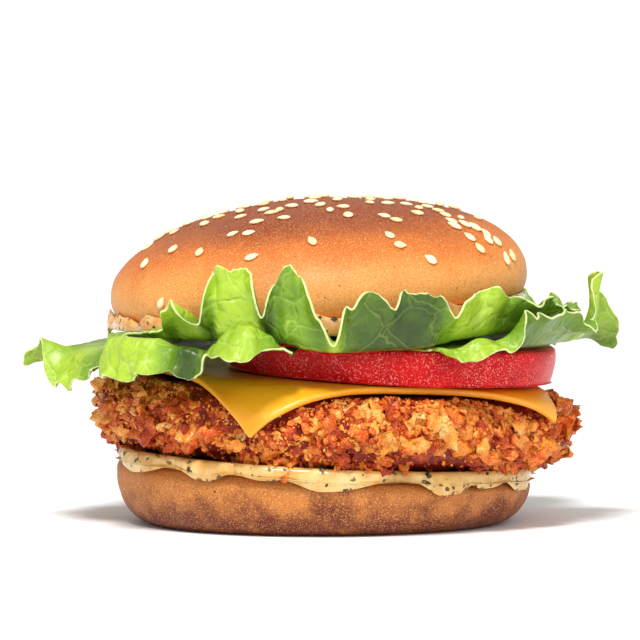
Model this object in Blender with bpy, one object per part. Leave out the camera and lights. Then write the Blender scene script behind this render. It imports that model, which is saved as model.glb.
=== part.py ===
"""A crispy chicken burger that stands on the flat foot of its bun.

From the foot up: the heel of the bun, a herb sauce, a breaded chicken patty, a slice of cheese,
a slice of tomato, four lettuce leaves, more sauce and the sesame crown of the bun. The heel's top
slopes down to the right, and the patty, cheese and tomato lie on that slope. The crown tips a
little the other way, and a wedge of sauce fills the gap that this opens.

Metres, +Z up. The origin is the middle of the heel's foot, and the burger's front faces -Y.
"""

import math
import random

import bmesh
import bpy
from mathutils import Euler, Matrix, Vector, noise

MM = 0.001
GAP = 0.3 * MM

# Driving dimensions.
BUN_RADIUS = 51.8 * MM
HEEL_HEIGHT = 14.2 * MM
FILLING_SLOPE = math.radians(3.0)
CROWN_CUT_HEIGHT = 54.0 * MM
CROWN_HEIGHT = 26.6 * MM
CROWN_SLOPE = math.radians(-4.2)
CROWN_SHIFT = -0.6 * MM
PATTY_HALF_WIDTH = 57.0 * MM
PATTY_HALF_DEPTH = 53.5 * MM
PATTY_THICKNESS = 17.0 * MM
CHEESE_SIDES = (88.0 * MM, 92.0 * MM)
CHEESE_THICKNESS = 1.8 * MM
TOMATO_RADIUS = 41.0 * MM
TOMATO_THICKNESS = 9.0 * MM
LEAF_THICKNESS = 0.75 * MM
SEED_LENGTH = 3.5 * MM

# Heights that follow, measured square to the filling's slope.
SAUCE_DEPTH = 2.0 * MM
TOP_RELIEF = 0.9 * MM
SIDE_RELIEF = 3.2 * MM
PATTY_FOOT = HEEL_HEIGHT + 2 * GAP + SAUCE_DEPTH + TOP_RELIEF
PATTY_TOP = PATTY_FOOT + PATTY_THICKNESS
CHEESE_HEIGHT = PATTY_TOP + TOP_RELIEF + 2 * GAP
TOMATO_FOOT = CHEESE_HEIGHT + CHEESE_THICKNESS + GAP

# Facets round the bun, the same for every layer that lies against it.
BUN_STEPS = 40


# Small tools for the shapes below.
def clear_scene():
    for obj in list(bpy.data.objects):
        bpy.data.objects.remove(obj, do_unlink=True)


def smooth_step(t):
    t = min(max(t, 0.0), 1.0)
    return t * t * (3 - 2 * t)


def rough(point, size, seed=0.0):
    """Soft noise from about -1 to 1, with lumps of the given size."""
    return 1.4 * noise.noise(Vector(point) / size + Vector((seed, 1.7 * seed, -seed)))


def finish_material(name, colour, roughness):
    material = bpy.data.materials.new(name)
    material.use_nodes = True
    shader = material.node_tree.nodes["Principled BSDF"]
    shader.inputs["Base Color"].default_value = (*colour, 1.0)
    shader.inputs["Roughness"].default_value = roughness
    shader.inputs["Metallic"].default_value = 0.0
    return material


def new_object(name, points, faces, material=None, parent=None):
    mesh = bpy.data.meshes.new(name)
    mesh.from_pydata([tuple(p) for p in points], [], faces)
    shape = bmesh.new()
    shape.from_mesh(mesh)
    bmesh.ops.triangulate(shape, faces=shape.faces[:])
    bmesh.ops.recalc_face_normals(shape, faces=shape.faces[:])
    shape.to_mesh(mesh)
    shape.free()
    mesh.shade_smooth()
    if material:
        mesh.materials.append(material)
    obj = bpy.data.objects.new(name, mesh)
    bpy.context.scene.collection.objects.link(obj)
    obj.parent = parent
    return obj


def turned(name, section, steps, material=None, parent=None, change=None):
    """A closed body round Z. section(angle) lists (radius, height) from its upper pole to its
    lower one, both on the axis, and change(point, angle) may move a point that is not a pole."""
    angles = [math.tau * i / steps for i in range(steps)]
    sections = [section(angle) for angle in angles]
    rings = len(sections[0]) - 2
    points = [Vector((0, 0, sections[0][0][1]))]
    for k in range(1, rings + 1):
        for angle, outline in zip(angles, sections):
            radius, height = outline[k]
            points.append(Vector((radius * math.cos(angle), radius * math.sin(angle), height)))
            if change:
                points[-1] = change(points[-1], angle)
    points.append(Vector((0, 0, sections[0][-1][1])))
    faces = []
    for i in range(steps):
        j = (i + 1) % steps
        faces.append((0, 1 + i, 1 + j))
        for k in range(rings - 1):
            upper, lower = 1 + k * steps, 1 + (k + 1) * steps
            faces.append((upper + i, lower + i, lower + j))
            faces.append((upper + i, lower + j, upper + j))
        last = 1 + (rings - 1) * steps
        faces.append((last + i, len(points) - 1, last + j))
    return new_object(name, points, faces, material, parent)


def sheet(name, grid, thickness, material=None, parent=None):
    """A thin solid from a grid of points of its middle surface, both faces split alike."""
    rows, columns = len(grid), len(grid[0])
    upper, lower = [], []
    for i in range(rows):
        for j in range(columns):
            along = grid[min(i + 1, rows - 1)][j] - grid[max(i - 1, 0)][j]
            across = grid[i][min(j + 1, columns - 1)] - grid[i][max(j - 1, 0)]
            normal = along.cross(across).normalized() * thickness / 2
            upper.append(grid[i][j] + normal)
            lower.append(grid[i][j] - normal)
    count = rows * columns
    faces = []
    for i in range(rows - 1):
        for j in range(columns - 1):
            a = i * columns + j
            b, c, d = a + 1, a + columns + 1, a + columns
            faces += [(a, d, c), (a, c, b)]
            faces += [(a + count, c + count, d + count), (a + count, b + count, c + count)]
    border = list(range(columns))
    border += [i * columns + columns - 1 for i in range(1, rows)]
    border += [(rows - 1) * columns + j for j in range(columns - 2, -1, -1)]
    border += [i * columns for i in range(rows - 2, 0, -1)]
    for a, b in zip(border, border[1:] + border[:1]):
        faces += [(a, b, b + count), (a, b + count, a + count)]
    return new_object(name, upper + lower, faces, material, parent)


def drop_scraps(mesh):
    """Keeps the largest piece of a mesh, without the loose scraps that a union can leave."""
    shape = bmesh.new()
    shape.from_mesh(mesh)
    unseen = set(shape.verts)
    pieces = []
    while unseen:
        piece, edge = set(), [next(iter(unseen))]
        while edge:
            vertex = edge.pop()
            if vertex in unseen:
                unseen.remove(vertex)
                piece.add(vertex)
                edge += [link.other_vert(vertex) for link in vertex.link_edges]
        pieces.append(piece)
    largest = max(pieces, key=len)
    scraps = [vertex for piece in pieces if piece is not largest for vertex in piece]
    bmesh.ops.delete(shape, geom=scraps, context="VERTS")
    shape.to_mesh(mesh)
    shape.free()


def fuse(body, extras):
    """Joins small closed shapes to a body with one Boolean union, and removes them."""
    helpers = bpy.data.collections.new(body.name + "_extras")
    bpy.context.scene.collection.children.link(helpers)
    for extra in extras:
        bpy.context.scene.collection.objects.unlink(extra)
        helpers.objects.link(extra)
    union = body.modifiers.new("fused", "BOOLEAN")
    union.operation = "UNION"
    union.operand_type = "COLLECTION"
    union.collection = helpers
    union.solver = "EXACT"
    bpy.context.view_layer.update()
    evaluated = body.evaluated_get(bpy.context.evaluated_depsgraph_get())
    joined = bpy.data.meshes.new_from_object(evaluated)
    body.modifiers.clear()
    drop_scraps(joined)
    joined.set_sharp_from_angle(angle=math.radians(32))
    body.data = joined
    for extra in extras:
        bpy.data.objects.remove(extra, do_unlink=True)
    bpy.data.collections.remove(helpers)


# Heel: the lower half of the bun, a low drum with a round lower edge and a flat foot.
def bun_outline(angle):
    """The bun's radius, a little uneven, as a baked one is."""
    wave = 0.008 * math.sin(2 * angle + 0.6) + 0.006 * math.sin(3 * angle + 2.0)
    return BUN_RADIUS * (1 + wave)


def heel_section(angle):
    radius = bun_outline(angle) * 0.994
    foot, waist = 0.81, 0.80
    outline = [(0, HEEL_HEIGHT), (0.55 * radius, HEEL_HEIGHT), (0.93 * radius, HEEL_HEIGHT)]
    for turn in (40, 75):
        along = math.radians(turn)
        outline.append((
            radius * (0.93 + 0.07 * math.sin(along)),
            HEEL_HEIGHT * (waist + (1 - waist) * math.cos(along)),
        ))
    for turn in (90, 72, 54, 38, 22, 8):
        along = math.radians(turn)
        outline.append((
            radius * (foot + (1 - foot) * math.sin(along)),
            HEEL_HEIGHT * waist * (1 - math.cos(along)),
        ))
    return outline + [(foot * radius, 0), (0, 0)]


def sloped(point, angle):
    """Tips a level top by the filling's slope and leaves the foot flat."""
    point.z *= 1 - math.tan(FILLING_SLOPE) * point.x / HEEL_HEIGHT
    return point


def make_heel():
    crust = finish_material("heel_crust", (0.56, 0.27, 0.09), 0.55)
    return turned("bun_heel", heel_section, BUN_STEPS, crust, change=sloped)


# Lower sauce: a layer on the heel that squeezes out and runs down over its edge in drips. Between
# them it is drawn back from the edge, and all round it wells up a little under the patty.
# Each drip is its angle, its half width in degrees, how far it runs down and how far it bulges.
LOWER_DRIPS = (
    (210, 11, 2.2, 1.6), (236, 7, 2.0, 1.7), (254, 6, 0.8, 0.8), (272, 12, 2.5, 1.4),
    (307, 8, 2.9, 1.6), (322, 7, 1.4, 1.0), (340, 8, 2.8, 1.1), (15, 9, 2.0, 1.3),
    (37, 9, 3.2, 1.8), (62, 12, 1.6, 1.2), (90, 10, 3.0, 1.7), (118, 12, 1.9, 1.3),
    (139, 8, 3.4, 1.8), (160, 9, 1.8, 1.2),
)
LEAST_BULGE = 0.6
DRAWN_BACK = 4.0 * MM
WELL = 0.9 * MM


def drip_at(drips, angle):
    """How far the sauce runs down and bulges out at an angle, and how near the next drip is."""
    run, bulge, near = 0.0, LEAST_BULGE, 0.0
    for centre, half_width, depth, out in drips:
        away = abs((math.degrees(angle) - centre + 180) % 360 - 180)
        share = smooth_step(1.25 - away / half_width)
        run = max(run, depth * share)
        bulge = max(bulge, LEAST_BULGE + (out - LEAST_BULGE) * share)
        near = max(near, smooth_step(2.1 - away / half_width))
    return run * MM, bulge * MM, near


def lower_sauce_section(angle):
    run, bulge, near = drip_at(LOWER_DRIPS, angle)
    side = bun_outline(angle) + GAP - DRAWN_BACK * (1 - near)
    foot = HEEL_HEIGHT + GAP
    top = foot + SAUCE_DEPTH
    crest = top + WELL
    low = foot - run
    return [
        (0, top), (0.5 * side, top), (0.88 * side, top), (0.94 * side, top),
        (side - 0.6 * MM, crest), (side + 0.7 * bulge, crest - 0.7 * MM),
        (side + bulge, 0.6 * low + 0.4 * crest), (side + 0.85 * bulge, 0.75 * low + 0.25 * crest),
        (side + 0.45 * bulge, low), (side + 0.1 * MM, 0.85 * low + 0.15 * foot),
        (side, 0.5 * low + 0.5 * foot), (side - 0.6 * MM, foot), (0.5 * side, foot), (0, foot),
    ]


def leaning(point, angle):
    """Shears a body by the filling's slope, so that its layers stay level with the heel's top."""
    point.z -= math.tan(FILLING_SLOPE) * point.x
    return point


def make_lower_sauce():
    cream = finish_material("herb_sauce", (0.83, 0.62, 0.33), 0.35)
    return turned("lower_sauce", lower_sauce_section, BUN_STEPS, cream, change=leaning)


# Patty: a chicken fillet in a craggy crust. Its crags are relief, and large flakes are fused on
# in three rows, at angles up and down from its waist, except where the cheese hangs over them.
PATTY_SHIFT = 1.2 * MM
EDGE_ROUND = 8.0 * MM
PATTY_TAPER = 2.6 * MM
PATTY_STEPS = 52
PATTY_RINGS = 11
FLAKE_ROWS = (20, -9, -36)
FLAKES_PER_ROW = 17
FLAKE_THICKNESS = 2.0 * MM
FLAKE_ROOM = 5.5 * MM


def patty_outline(angle):
    """The fillet's radius in plan, before its crust."""
    across, deep = math.cos(angle) / PATTY_HALF_WIDTH, math.sin(angle) / PATTY_HALF_DEPTH
    wave = 0.012 * math.sin(3 * angle + 0.4) + 0.010 * math.sin(5 * angle + 1.9)
    return (1 + wave) / math.hypot(across, deep)


def crust_relief(point, outward):
    """Height of the crags over the fillet: lumps with sharp valleys, higher on its side."""
    lumps = 1 - abs(rough(point, 9 * MM, 3.1))
    crags = 1 - abs(rough(point, 4.6 * MM, 8.2))
    height = min(max(1.5 * (0.55 * lumps + 0.45 * crags) - 0.55, 0.0), 1.0)
    return height * (TOP_RELIEF + (SIDE_RELIEF - TOP_RELIEF) * abs(outward) ** 3)


def crust_point(angle, turn):
    """Radius and height of the crust where the patty's round edge has turned by an angle."""
    out, up = math.cos(turn), math.sin(turn)
    middle = PATTY_TOP - EDGE_ROUND if up > 0 else PATTY_FOOT + EDGE_ROUND
    reach = patty_outline(angle) - EDGE_ROUND + PATTY_TAPER * min(up, 0.0)
    base = Vector((reach + EDGE_ROUND * out, middle + EDGE_ROUND * up))
    place = Vector((base.x * math.cos(angle), base.x * math.sin(angle), base.y))
    return base + Vector((out, up)) * crust_relief(place, out)


def patty_section(angle):
    """A flat top and foot joined by a round edge, its lower half drawn in, with the crust."""
    radius = patty_outline(angle)
    outline = [(0, PATTY_TOP), (0.5 * radius, PATTY_TOP)]
    for k in range(PATTY_RINGS):
        outline.append(crust_point(angle, math.radians(90 - 180 * k / (PATTY_RINGS - 1))))
    return outline + [(0.5 * radius, PATTY_FOOT), (0, PATTY_FOOT)]


def make_flake(rng, angle, turn):
    """A thin flake of crust, half sunk into the patty's side with one edge standing off it."""
    length, width = rng.uniform(7, 10) * MM, rng.uniform(5, 7) * MM
    upward = Vector((0, 0, FLAKE_THICKNESS))
    corners = 5
    rim = []
    for k in range(corners):
        around = math.tau * k / corners
        reach = rng.uniform(0.75, 1.0)
        rim.append(Vector((length * math.cos(around), width * math.sin(around), 0)) * reach / 2)
    rim = [p + 0.45 * upward for p in rim]
    points = [0.65 * upward, -0.8 * upward] + rim + [p - 0.6 * upward for p in rim]
    faces = []
    for k in range(corners):
        a, b = 2 + k, 2 + (k + 1) % corners
        faces += [(0, a, b), (1, b + corners, a + corners)]
        faces += [(a, a + corners, b + corners), (a, b + corners, b)]
    radius, height = crust_point(angle, turn)
    place = Vector((radius * math.cos(angle), radius * math.sin(angle), height))
    facing = Euler((math.radians(90) - turn, 0, angle + math.pi / 2)).to_matrix()
    twist = Euler((rng.choice((-1, 1)) * rng.uniform(0.3, 0.6), rng.uniform(-0.45, 0.45), 0))
    spin = Matrix.Rotation(rng.uniform(-0.6, 0.6), 3, "Z")
    facing = facing @ twist.to_matrix() @ spin
    return new_object("flake", [place + facing @ p for p in points], faces)


def make_patty(filling):
    crust = finish_material("fried_crust", (0.60, 0.21, 0.04), 0.6)
    patty = turned("patty", patty_section, PATTY_STEPS, crust, filling)
    patty.location.x = PATTY_SHIFT
    rng = random.Random(11)
    flakes = []
    for row, lift in enumerate(FLAKE_ROWS):
        for k in range(FLAKES_PER_ROW):
            place = k + 0.5 * (row % 2) + rng.uniform(-0.2, 0.2)
            angle = math.tau * place / FLAKES_PER_ROW
            turn = math.radians(lift + rng.uniform(-6, 6))
            lowest_cheese = min(cheese_edge(angle + away) for away in (-0.12, 0, 0.12))
            if crust_point(angle, turn).y + FLAKE_ROOM < lowest_cheese:
                flakes.append(make_flake(rng, angle, turn))
                flakes[-1].location.x = PATTY_SHIFT
                flakes[-1].parent = filling
    fuse(patty, flakes)
    return patty


# Cheese: a nearly square slice laid with a corner to the front, its corners hanging over the
# patty.
CHEESE_TURN = math.radians(24.8)
CHEESE_CENTRE = Vector((-2.0, -2.5, 0)) * MM
CHEESE_STEPS = 12
BEND_OUT = EDGE_ROUND + SIDE_RELIEF + 3 * GAP + CHEESE_THICKNESS / 2
BEND_DOWN = CHEESE_HEIGHT + CHEESE_THICKNESS / 2 - (PATTY_TOP - EDGE_ROUND)
CHEESE_STEEPEST = math.radians(80)


def draped(distance, angle):
    """Radius and height of the slice's middle once it has sunk over the patty's edge."""
    fall = patty_outline(angle) - EDGE_ROUND
    bend = (BEND_OUT + BEND_DOWN) / 2
    past = max(distance - fall, 0.0)
    bent = min(past / bend, CHEESE_STEEPEST)
    straight = max(past - bend * CHEESE_STEEPEST, 0.0)
    radius = min(distance, fall) + BEND_OUT * math.sin(bent) + straight * math.cos(CHEESE_STEEPEST)
    height = PATTY_TOP - EDGE_ROUND + BEND_DOWN * math.cos(bent)
    return radius, height - straight * math.sin(CHEESE_STEEPEST)


def cheese_edge(angle):
    """Height of the slice's edge where it crosses an angle round the patty."""
    heading = Vector((math.cos(angle), math.sin(angle), 0))
    reaches = []
    for k in range(4):
        side = Matrix.Rotation(CHEESE_TURN + k * math.pi / 2, 3, "Z") @ Vector((1, 0, 0))
        if heading.dot(side) > 0.01:
            reach = CHEESE_SIDES[k % 2] / 2 + CHEESE_CENTRE.dot(side)
            reaches.append(reach / heading.dot(side))
    return draped(min(reaches), angle)[1]


def make_cheese(filling):
    yellow = finish_material("cheese", (0.93, 0.50, 0.03), 0.35)
    turn = Matrix.Rotation(CHEESE_TURN, 3, "Z")
    shares = [k / CHEESE_STEPS - 0.5 for k in range(CHEESE_STEPS + 1)]
    grid = []
    for across in shares:
        row = []
        for along in shares:
            flat = Vector((across * CHEESE_SIDES[0], along * CHEESE_SIDES[1], 0))
            flat = turn @ flat + CHEESE_CENTRE
            angle = math.atan2(flat.y, flat.x)
            radius, height = draped(flat.length, angle)
            row.append(Vector((radius * math.cos(angle), radius * math.sin(angle), height)))
        grid.append(row)
    cheese = sheet("cheese", grid, CHEESE_THICKNESS, yellow, filling)
    cheese.location.x = PATTY_SHIFT
    return cheese


# Tomato: one thick slice, its skin drawn in towards the foot.
TOMATO_CENTRE = Vector((14.5 * MM, -6.5 * MM, TOMATO_FOOT))
TOMATO_STEPS = 38


def tomato_section(angle):
    lobes = 0.010 * math.cos(5 * angle + 0.8) + 0.006 * math.cos(3 * angle)
    radius = TOMATO_RADIUS * (1 + lobes)
    outline = [(0, TOMATO_THICKNESS), (0.978 * radius, TOMATO_THICKNESS)]
    for share in (0.90, 0.62, 0.34, 0.08):
        bow = 0.014 * math.sin(math.pi * share) + 0.03 * (share - 1)
        outline.append((radius * (1 + bow), TOMATO_THICKNESS * share))
    return outline + [(0.94 * radius, 0), (0, 0)]


def tomato_reach(angle):
    """How far the slice reaches from the burger's middle at an angle."""
    centre = TOMATO_CENTRE.xy
    along = centre.dot(Vector((math.cos(angle), math.sin(angle))))
    return along + math.sqrt(along**2 + TOMATO_RADIUS**2 - centre.length**2)


def make_tomato(filling):
    red = finish_material("tomato", (0.66, 0.03, 0.02), 0.3)
    tomato = turned("tomato", tomato_section, TOMATO_STEPS, red, filling)
    tomato.location = TOMATO_CENTRE
    return tomato


# Lettuce: the left leaf lies beside the tomato, the right one on it, and the back and the front
# one above those, under the crown. Each is flat inside and ends in a ruffled frill. Each fold of a
# frill is its angle round the burger in degrees, the radius and height in millimetres where it
# leaves the flat leaf, its length, how steeply it stands (90 straight up, -90 straight down), and
# how far its edge curls over, in degrees (less than 0: outwards and down).
LEAF_ROWS = 6
FLAT_SHARE = 0.3
FRILL_STEPS = 10
RUFFLE = 13.0
LEAN = 2.4 * MM


class Leaf:
    """inner is the radius where the leaf starts, or None where it starts beside the tomato."""

    def __init__(self, name, height, slope, inner, folds):
        self.name = name
        self.height = height * MM
        self.slope = slope
        self.inner = inner and inner * MM
        self.folds = folds


LEAVES = (
    Leaf("lettuce_left", 46.8, 0.03, None, (
        (160, 56.5, 46.0, 8, -25, 0), (168, 56.5, 46.0, 12, -30, 0),
        (176, 56.5, 46.0, 12, -14, 10), (182, 56.5, 46.0, 18, -16, -6),
        (186, 56.5, 46.0, 14, -6, 20), (190, 56.5, 46.0, 16, -24, -26),
        (197, 56.5, 46.0, 14, -28, -36), (207, 56.5, 46.0, 8, -45, 0),
        (212, 56.5, 47.6, 12, 30, -90), (217, 56.5, 48.2, 19, 42, -122),
        (224, 57.0, 48.4, 20, 45, -125), (231, 57.5, 48.4, 17, 45, -125),
        (235, 57.5, 47.8, 10, 12, -80), (239, 57.5, 47.4, 14, 32, -120),
        (242.5, 57.5, 47.0, 11, 20, -100), (246, 58.0, 47.8, 10, 50, -80),
        (250, 58.2, 49.0, 16, 84, -150), (254.5, 58.2, 49.0, 20, 86, -156),
        (258, 58.0, 48.6, 11, 76, -110), (260.5, 57.5, 47.4, 6, 40, -40),
        (263, 57.0, 46.0, 5, 10, 0),
    )),
    Leaf("lettuce_right", 47.85, -0.03, 24, (
        (266, 44.0, 47.8, 2, 0, 0), (292, 46.0, 47.8, 2, 0, 0), (297, 53.0, 47.4, 3, 0, -20),
        (302, 58.2, 47.2, 7, 32, -90), (308, 58.5, 47.6, 11, 75, -130),
        (313, 58.5, 47.6, 9, 72, -110), (319, 58.2, 47.6, 13, 66, -16),
        (327, 58.2, 47.6, 14, 62, -16), (335, 58.2, 47.6, 14, 54, -10),
        (342, 58.2, 47.6, 14, 44, -30), (346, 58.2, 47.6, 12, 34, 0),
        (350, 58.2, 47.6, 23, 30, 58), (354, 58.2, 47.6, 23, 30, 60),
        (358, 58.2, 47.6, 17, 20, 20), (363, 58.2, 47.6, 16, 4, -20),
        (369, 58.2, 47.6, 9, 20, 0),
    )),
    Leaf("lettuce_front", 49.25, 0.01, 34, (
        (207, 54.8, 49.2, 4, 10, 0), (210, 54.8, 49.2, 6.5, 24, -60),
        (214, 54.8, 49.2, 4, 24, -20), (218, 54.8, 49.2, 4, 30, -20),
        (222, 54.8, 49.2, 5, 60, -50), (226, 54.8, 49.2, 8, 76, -80),
        (230, 54.9, 49.2, 6, 70, -70), (234, 55.0, 49.2, 15, 88, -60),
        (238.5, 55.0, 49.2, 18, 88, -66), (242, 54.9, 49.2, 10, 80, -60),
        (245, 54.8, 49.2, 20, 87, 0), (250, 54.8, 49.2, 21, 88, 0),
        (254.5, 54.8, 49.2, 20, 88, 0), (257, 54.8, 49.2, 10, 74, -30),
        (259.5, 54.9, 49.0, 17, 86, 0), (262, 55.0, 48.6, 24, 88, -6),
        (266, 55.6, 47.4, 22, 86, -16), (270, 55.8, 46.8, 16, 82, -40),
        (273, 56.0, 46.6, 10, 60, -70), (276, 56.0, 46.6, 14, 82, -20),
        (279, 56.0, 46.6, 17, 85, -14), (285, 55.5, 46.8, 14, 84, -20),
        (288.5, 55.5, 46.8, 17, 86, -10), (293, 55.5, 46.8, 17, 85, -12),
        (297, 55.5, 47.0, 16, 84, -20), (301, 55.2, 47.8, 12, 74, -40),
        (306, 55.0, 48.6, 14, 80, -14), (313, 55.0, 49.0, 14, 78, -10),
        (320, 54.8, 49.2, 12, 80, -20), (328, 54.8, 49.2, 12, 76, -40),
        (336, 54.8, 49.2, 11, 74, -30), (345, 54.8, 49.2, 9, 60, -30),
        (353, 54.8, 49.2, 11, 70, -60), (362, 54.8, 49.2, 9, 60, -30),
        (371, 54.8, 49.2, 5, 30, 0),
    )),
    Leaf("lettuce_back", 48.6, 0.0, 34, (
        (16, 55.4, 47.8, 6, 30, 0), (22, 55.4, 47.2, 12, 72, -20),
        (29, 55.4, 46.2, 12, -14, -20), (38, 55.4, 44.8, 15, 64, -20),
        (49, 55.4, 43.4, 12, 5, -30), (59, 55.4, 43.1, 15, 76, -20),
        (70, 55.4, 43.1, 13, -24, -20), (81, 55.4, 43.1, 16, 70, -30),
        (92, 55.4, 43.1, 12, 0, -30), (103, 55.4, 43.1, 15, 74, -20),
        (114, 55.4, 43.1, 13, -22, -20), (125, 55.4, 43.1, 15, 62, -40),
        (136, 55.4, 43.1, 12, -6, -20), (147, 55.4, 43.1, 10, 0, -20),
        (157, 55.4, 43.1, 9, -20, 0),
    )),
)


def fold_at(folds, degrees):
    """Radius, height, length, steepness and curl of a frill between two of its folds."""
    for first, second in zip(folds, folds[1:]):
        if degrees <= second[0]:
            share = smooth_step((degrees - first[0]) / (second[0] - first[0]))
            return [a + (b - a) * share for a, b in zip(first[1:], second[1:])]
    return folds[-1][1:]


def leaf_point(leaf, degrees, share):
    """A point of the leaf's middle surface. share runs from its inner end to its ruffled edge."""
    angle = math.radians(degrees)
    frill, foot, length, steep, curl = fold_at(leaf.folds, degrees)
    if share < FLAT_SHARE:
        inner = leaf.inner or tomato_reach(angle) + 1.5 * MM
        along = share / FLAT_SHARE
        radius = inner + (frill * MM - inner) * along
        height = leaf.height + (foot * MM - leaf.height) * along**3
    else:
        out = (share - FLAT_SHARE) / (1 - FLAT_SHARE)
        ruffle = RUFFLE * math.sin(40 * angle + 2 * math.sin(9 * angle))
        radius, height = frill * MM, foot * MM
        for k in range(FRILL_STEPS):
            along = out * (k + 0.5) / FRILL_STEPS
            bend = curl * smooth_step((along - 0.2) / 0.5) + ruffle * along**2
            tilt = math.radians(steep * smooth_step(along * 2.8) + bend)
            radius += out / FRILL_STEPS * length * MM * math.cos(tilt)
            height += out / FRILL_STEPS * length * MM * math.sin(tilt)
        lean = LEAN * rough((60 * angle, leaf.height / MM, 5), 9.0)
        angle += lean * out**2 / radius
    x, y = radius * math.cos(angle), radius * math.sin(angle)
    return Vector((x, y, height + leaf.slope * x))


def make_leaf(leaf):
    """A leaf with a line of points at each fold of its frill and one halfway to the next."""
    green = finish_material(leaf.name, (0.30, 0.50, 0.05), 0.4)
    angles = [fold[0] for fold in leaf.folds]
    angles += [(first + second) / 2 for first, second in zip(angles, angles[1:])]
    grid = []
    for degrees in sorted(angles):
        grid.append([leaf_point(leaf, degrees, j / LEAF_ROWS) for j in range(LEAF_ROWS + 1)])
    return sheet(leaf.name, grid, LEAF_THICKNESS, green)


# Upper sauce: a wedge under the crown, thin at the left and thick at the right, that wells out,
# climbs the crown's lower edge and hangs in one fat drop at the left.
UPPER_DRIPS = (
    (183, 12, 4.6, 1.5), (202, 11, 4.4, 1.3), (220, 10, 4.6, 1.6), (245, 8, 3.0, 1.0),
    (264, 11, 3.6, 1.6), (302, 10, 4.4, 1.9), (323, 7, 1.6, 0.8), (30, 9, 2.0, 0.9),
    (50, 12, 1.8, 0.9), (88, 14, 3.4, 1.3), (125, 12, 2.0, 0.9), (152, 11, 3.0, 1.2),
)
LEFT_DROP = ((184, 7, 2.6, 2.2),)
LEAST_RISE = 0.9 * MM
UPPER_RUN = 0.075 * MM
THIN_END = 33 * MM


def wedge_foot(x):
    """Height of the sauce's foot under the crown's cut, level once the wedge has opened."""
    return -1.2 * MM - math.tan(-CROWN_SLOPE) * max(x + THIN_END, 0)


def upper_sauce_section(angle):
    run, bulge, near = drip_at(UPPER_DRIPS, angle)
    run = max(run, LEAST_RISE)
    drop = drip_at(LEFT_DROP, angle)[0]
    bulge *= 0.7
    outline = [(0, -GAP), (0.5 * BUN_RADIUS, -GAP)]
    highest = 90 - run / UPPER_RUN
    for turn in (90, 60 + highest / 3, 30 + 2 * highest / 3, highest):
        radius, height = crown_corner(angle, turn)
        outline.append((radius + 2 * GAP * math.cos(math.radians(turn)), height - GAP))
    side = bun_outline(angle) * (0.97 + 0.03 * near) + 2 * GAP * near
    top = outline[-1][1]
    foot = wedge_foot(side * math.cos(angle))
    return outline + [
        (side, top + 0.4 * MM), (side + 0.8 * bulge, 0.5 * top),
        (side + bulge, 0.4 * foot - 0.6 * drop), (side + 0.6 * bulge, foot - drop),
        (side - 2.5 * MM, foot),
        (0.5 * side, wedge_foot(side * math.cos(angle) / 2)), (0, wedge_foot(0)),
    ]


def make_upper_sauce(crown_frame):
    cream = finish_material("herb_sauce_upper", (0.83, 0.58, 0.30), 0.35)
    return turned("upper_sauce", upper_sauce_section, BUN_STEPS, cream, crown_frame)


# Crown: the domed upper half of the bun, with sesame seeds pressed into its glazed top.
CROWN_WAIST = 5.4 * MM
DOME_POWER = 2.1
SEED_COUNT = 50


def crown_corner(angle, turn):
    """A point of the crown's round lower edge: turn 0 is its waist and 90 its flat underside."""
    along = math.radians(turn)
    radius = bun_outline(angle) * (0.95 + 0.05 * math.cos(along))
    return radius, CROWN_WAIST * (1 - math.sin(along))


def crown_section(angle):
    radius = bun_outline(angle)
    rise = CROWN_HEIGHT - CROWN_WAIST
    outline = [(0, CROWN_HEIGHT)]
    for turn in (16, 30, 44, 58, 74, 90):
        along = math.radians(turn)
        outline.append((
            radius * math.sin(along) ** (2 / DOME_POWER),
            CROWN_WAIST + rise * max(math.cos(along), 0.0) ** (2 / DOME_POWER),
        ))
    outline += [crown_corner(angle, turn) for turn in (8, 35, 65, 90)]
    return outline + [(0, 0)]


def dome_point(angle, turn):
    """A point of the dome at an angle round it and a turn down from its top, and its normal."""
    radius, rise = bun_outline(angle), CROWN_HEIGHT - CROWN_WAIST
    out = radius * math.sin(turn) ** (2 / DOME_POWER)
    up = rise * math.cos(turn) ** (2 / DOME_POWER)
    slope_out = (out / radius) ** (DOME_POWER - 1) / radius
    slope_up = (up / rise) ** (DOME_POWER - 1) / rise
    radial = Vector((math.cos(angle), math.sin(angle), 0))
    normal = (radial * slope_out + Vector((0, 0, slope_up))).normalized()
    return radial * out + Vector((0, 0, CROWN_WAIST + up)), normal


def make_seed(angle, turn, spin):
    """A flat drop-shaped seed, half sunk into the crust."""
    middle, normal = dome_point(angle, turn)
    along = Vector((-math.sin(angle), math.cos(angle), 0))
    across = normal.cross(along)
    heading = along * math.cos(spin) + across * math.sin(spin)
    side = normal.cross(heading)
    points = [middle + heading * SEED_LENGTH / 2, middle - heading * SEED_LENGTH / 2]
    ring = 5
    for share, place in ((0.46, 0.28), (0.62, -0.12)):
        for k in range(ring):
            turn_round = math.tau * k / ring + math.pi / 2
            points.append(
                middle + heading * SEED_LENGTH * place
                + side * SEED_LENGTH * 0.5 * share * math.cos(turn_round)
                + normal * SEED_LENGTH * 0.34 * share * math.sin(turn_round)
            )
    faces = []
    for k in range(ring):
        j = (k + 1) % ring
        faces += [(0, 2 + k, 2 + j), (1, 2 + ring + j, 2 + ring + k)]
        faces += [(2 + k, 2 + ring + k, 2 + ring + j), (2 + k, 2 + ring + j, 2 + j)]
    return new_object("seed", points, faces)


def seed_places(count):
    """Angles round and down the dome: crowded near the top, thin towards the side."""
    rng = random.Random(5)
    places = []
    golden = math.pi * (3 - math.sqrt(5))
    for k in range(count):
        share = (k + 0.5) / count
        turn = math.radians(6 + 62 * share**0.62 + rng.uniform(-3, 3))
        places.append((k * golden + rng.uniform(-0.25, 0.25), turn, rng.uniform(0, math.pi)))
    return places


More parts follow.
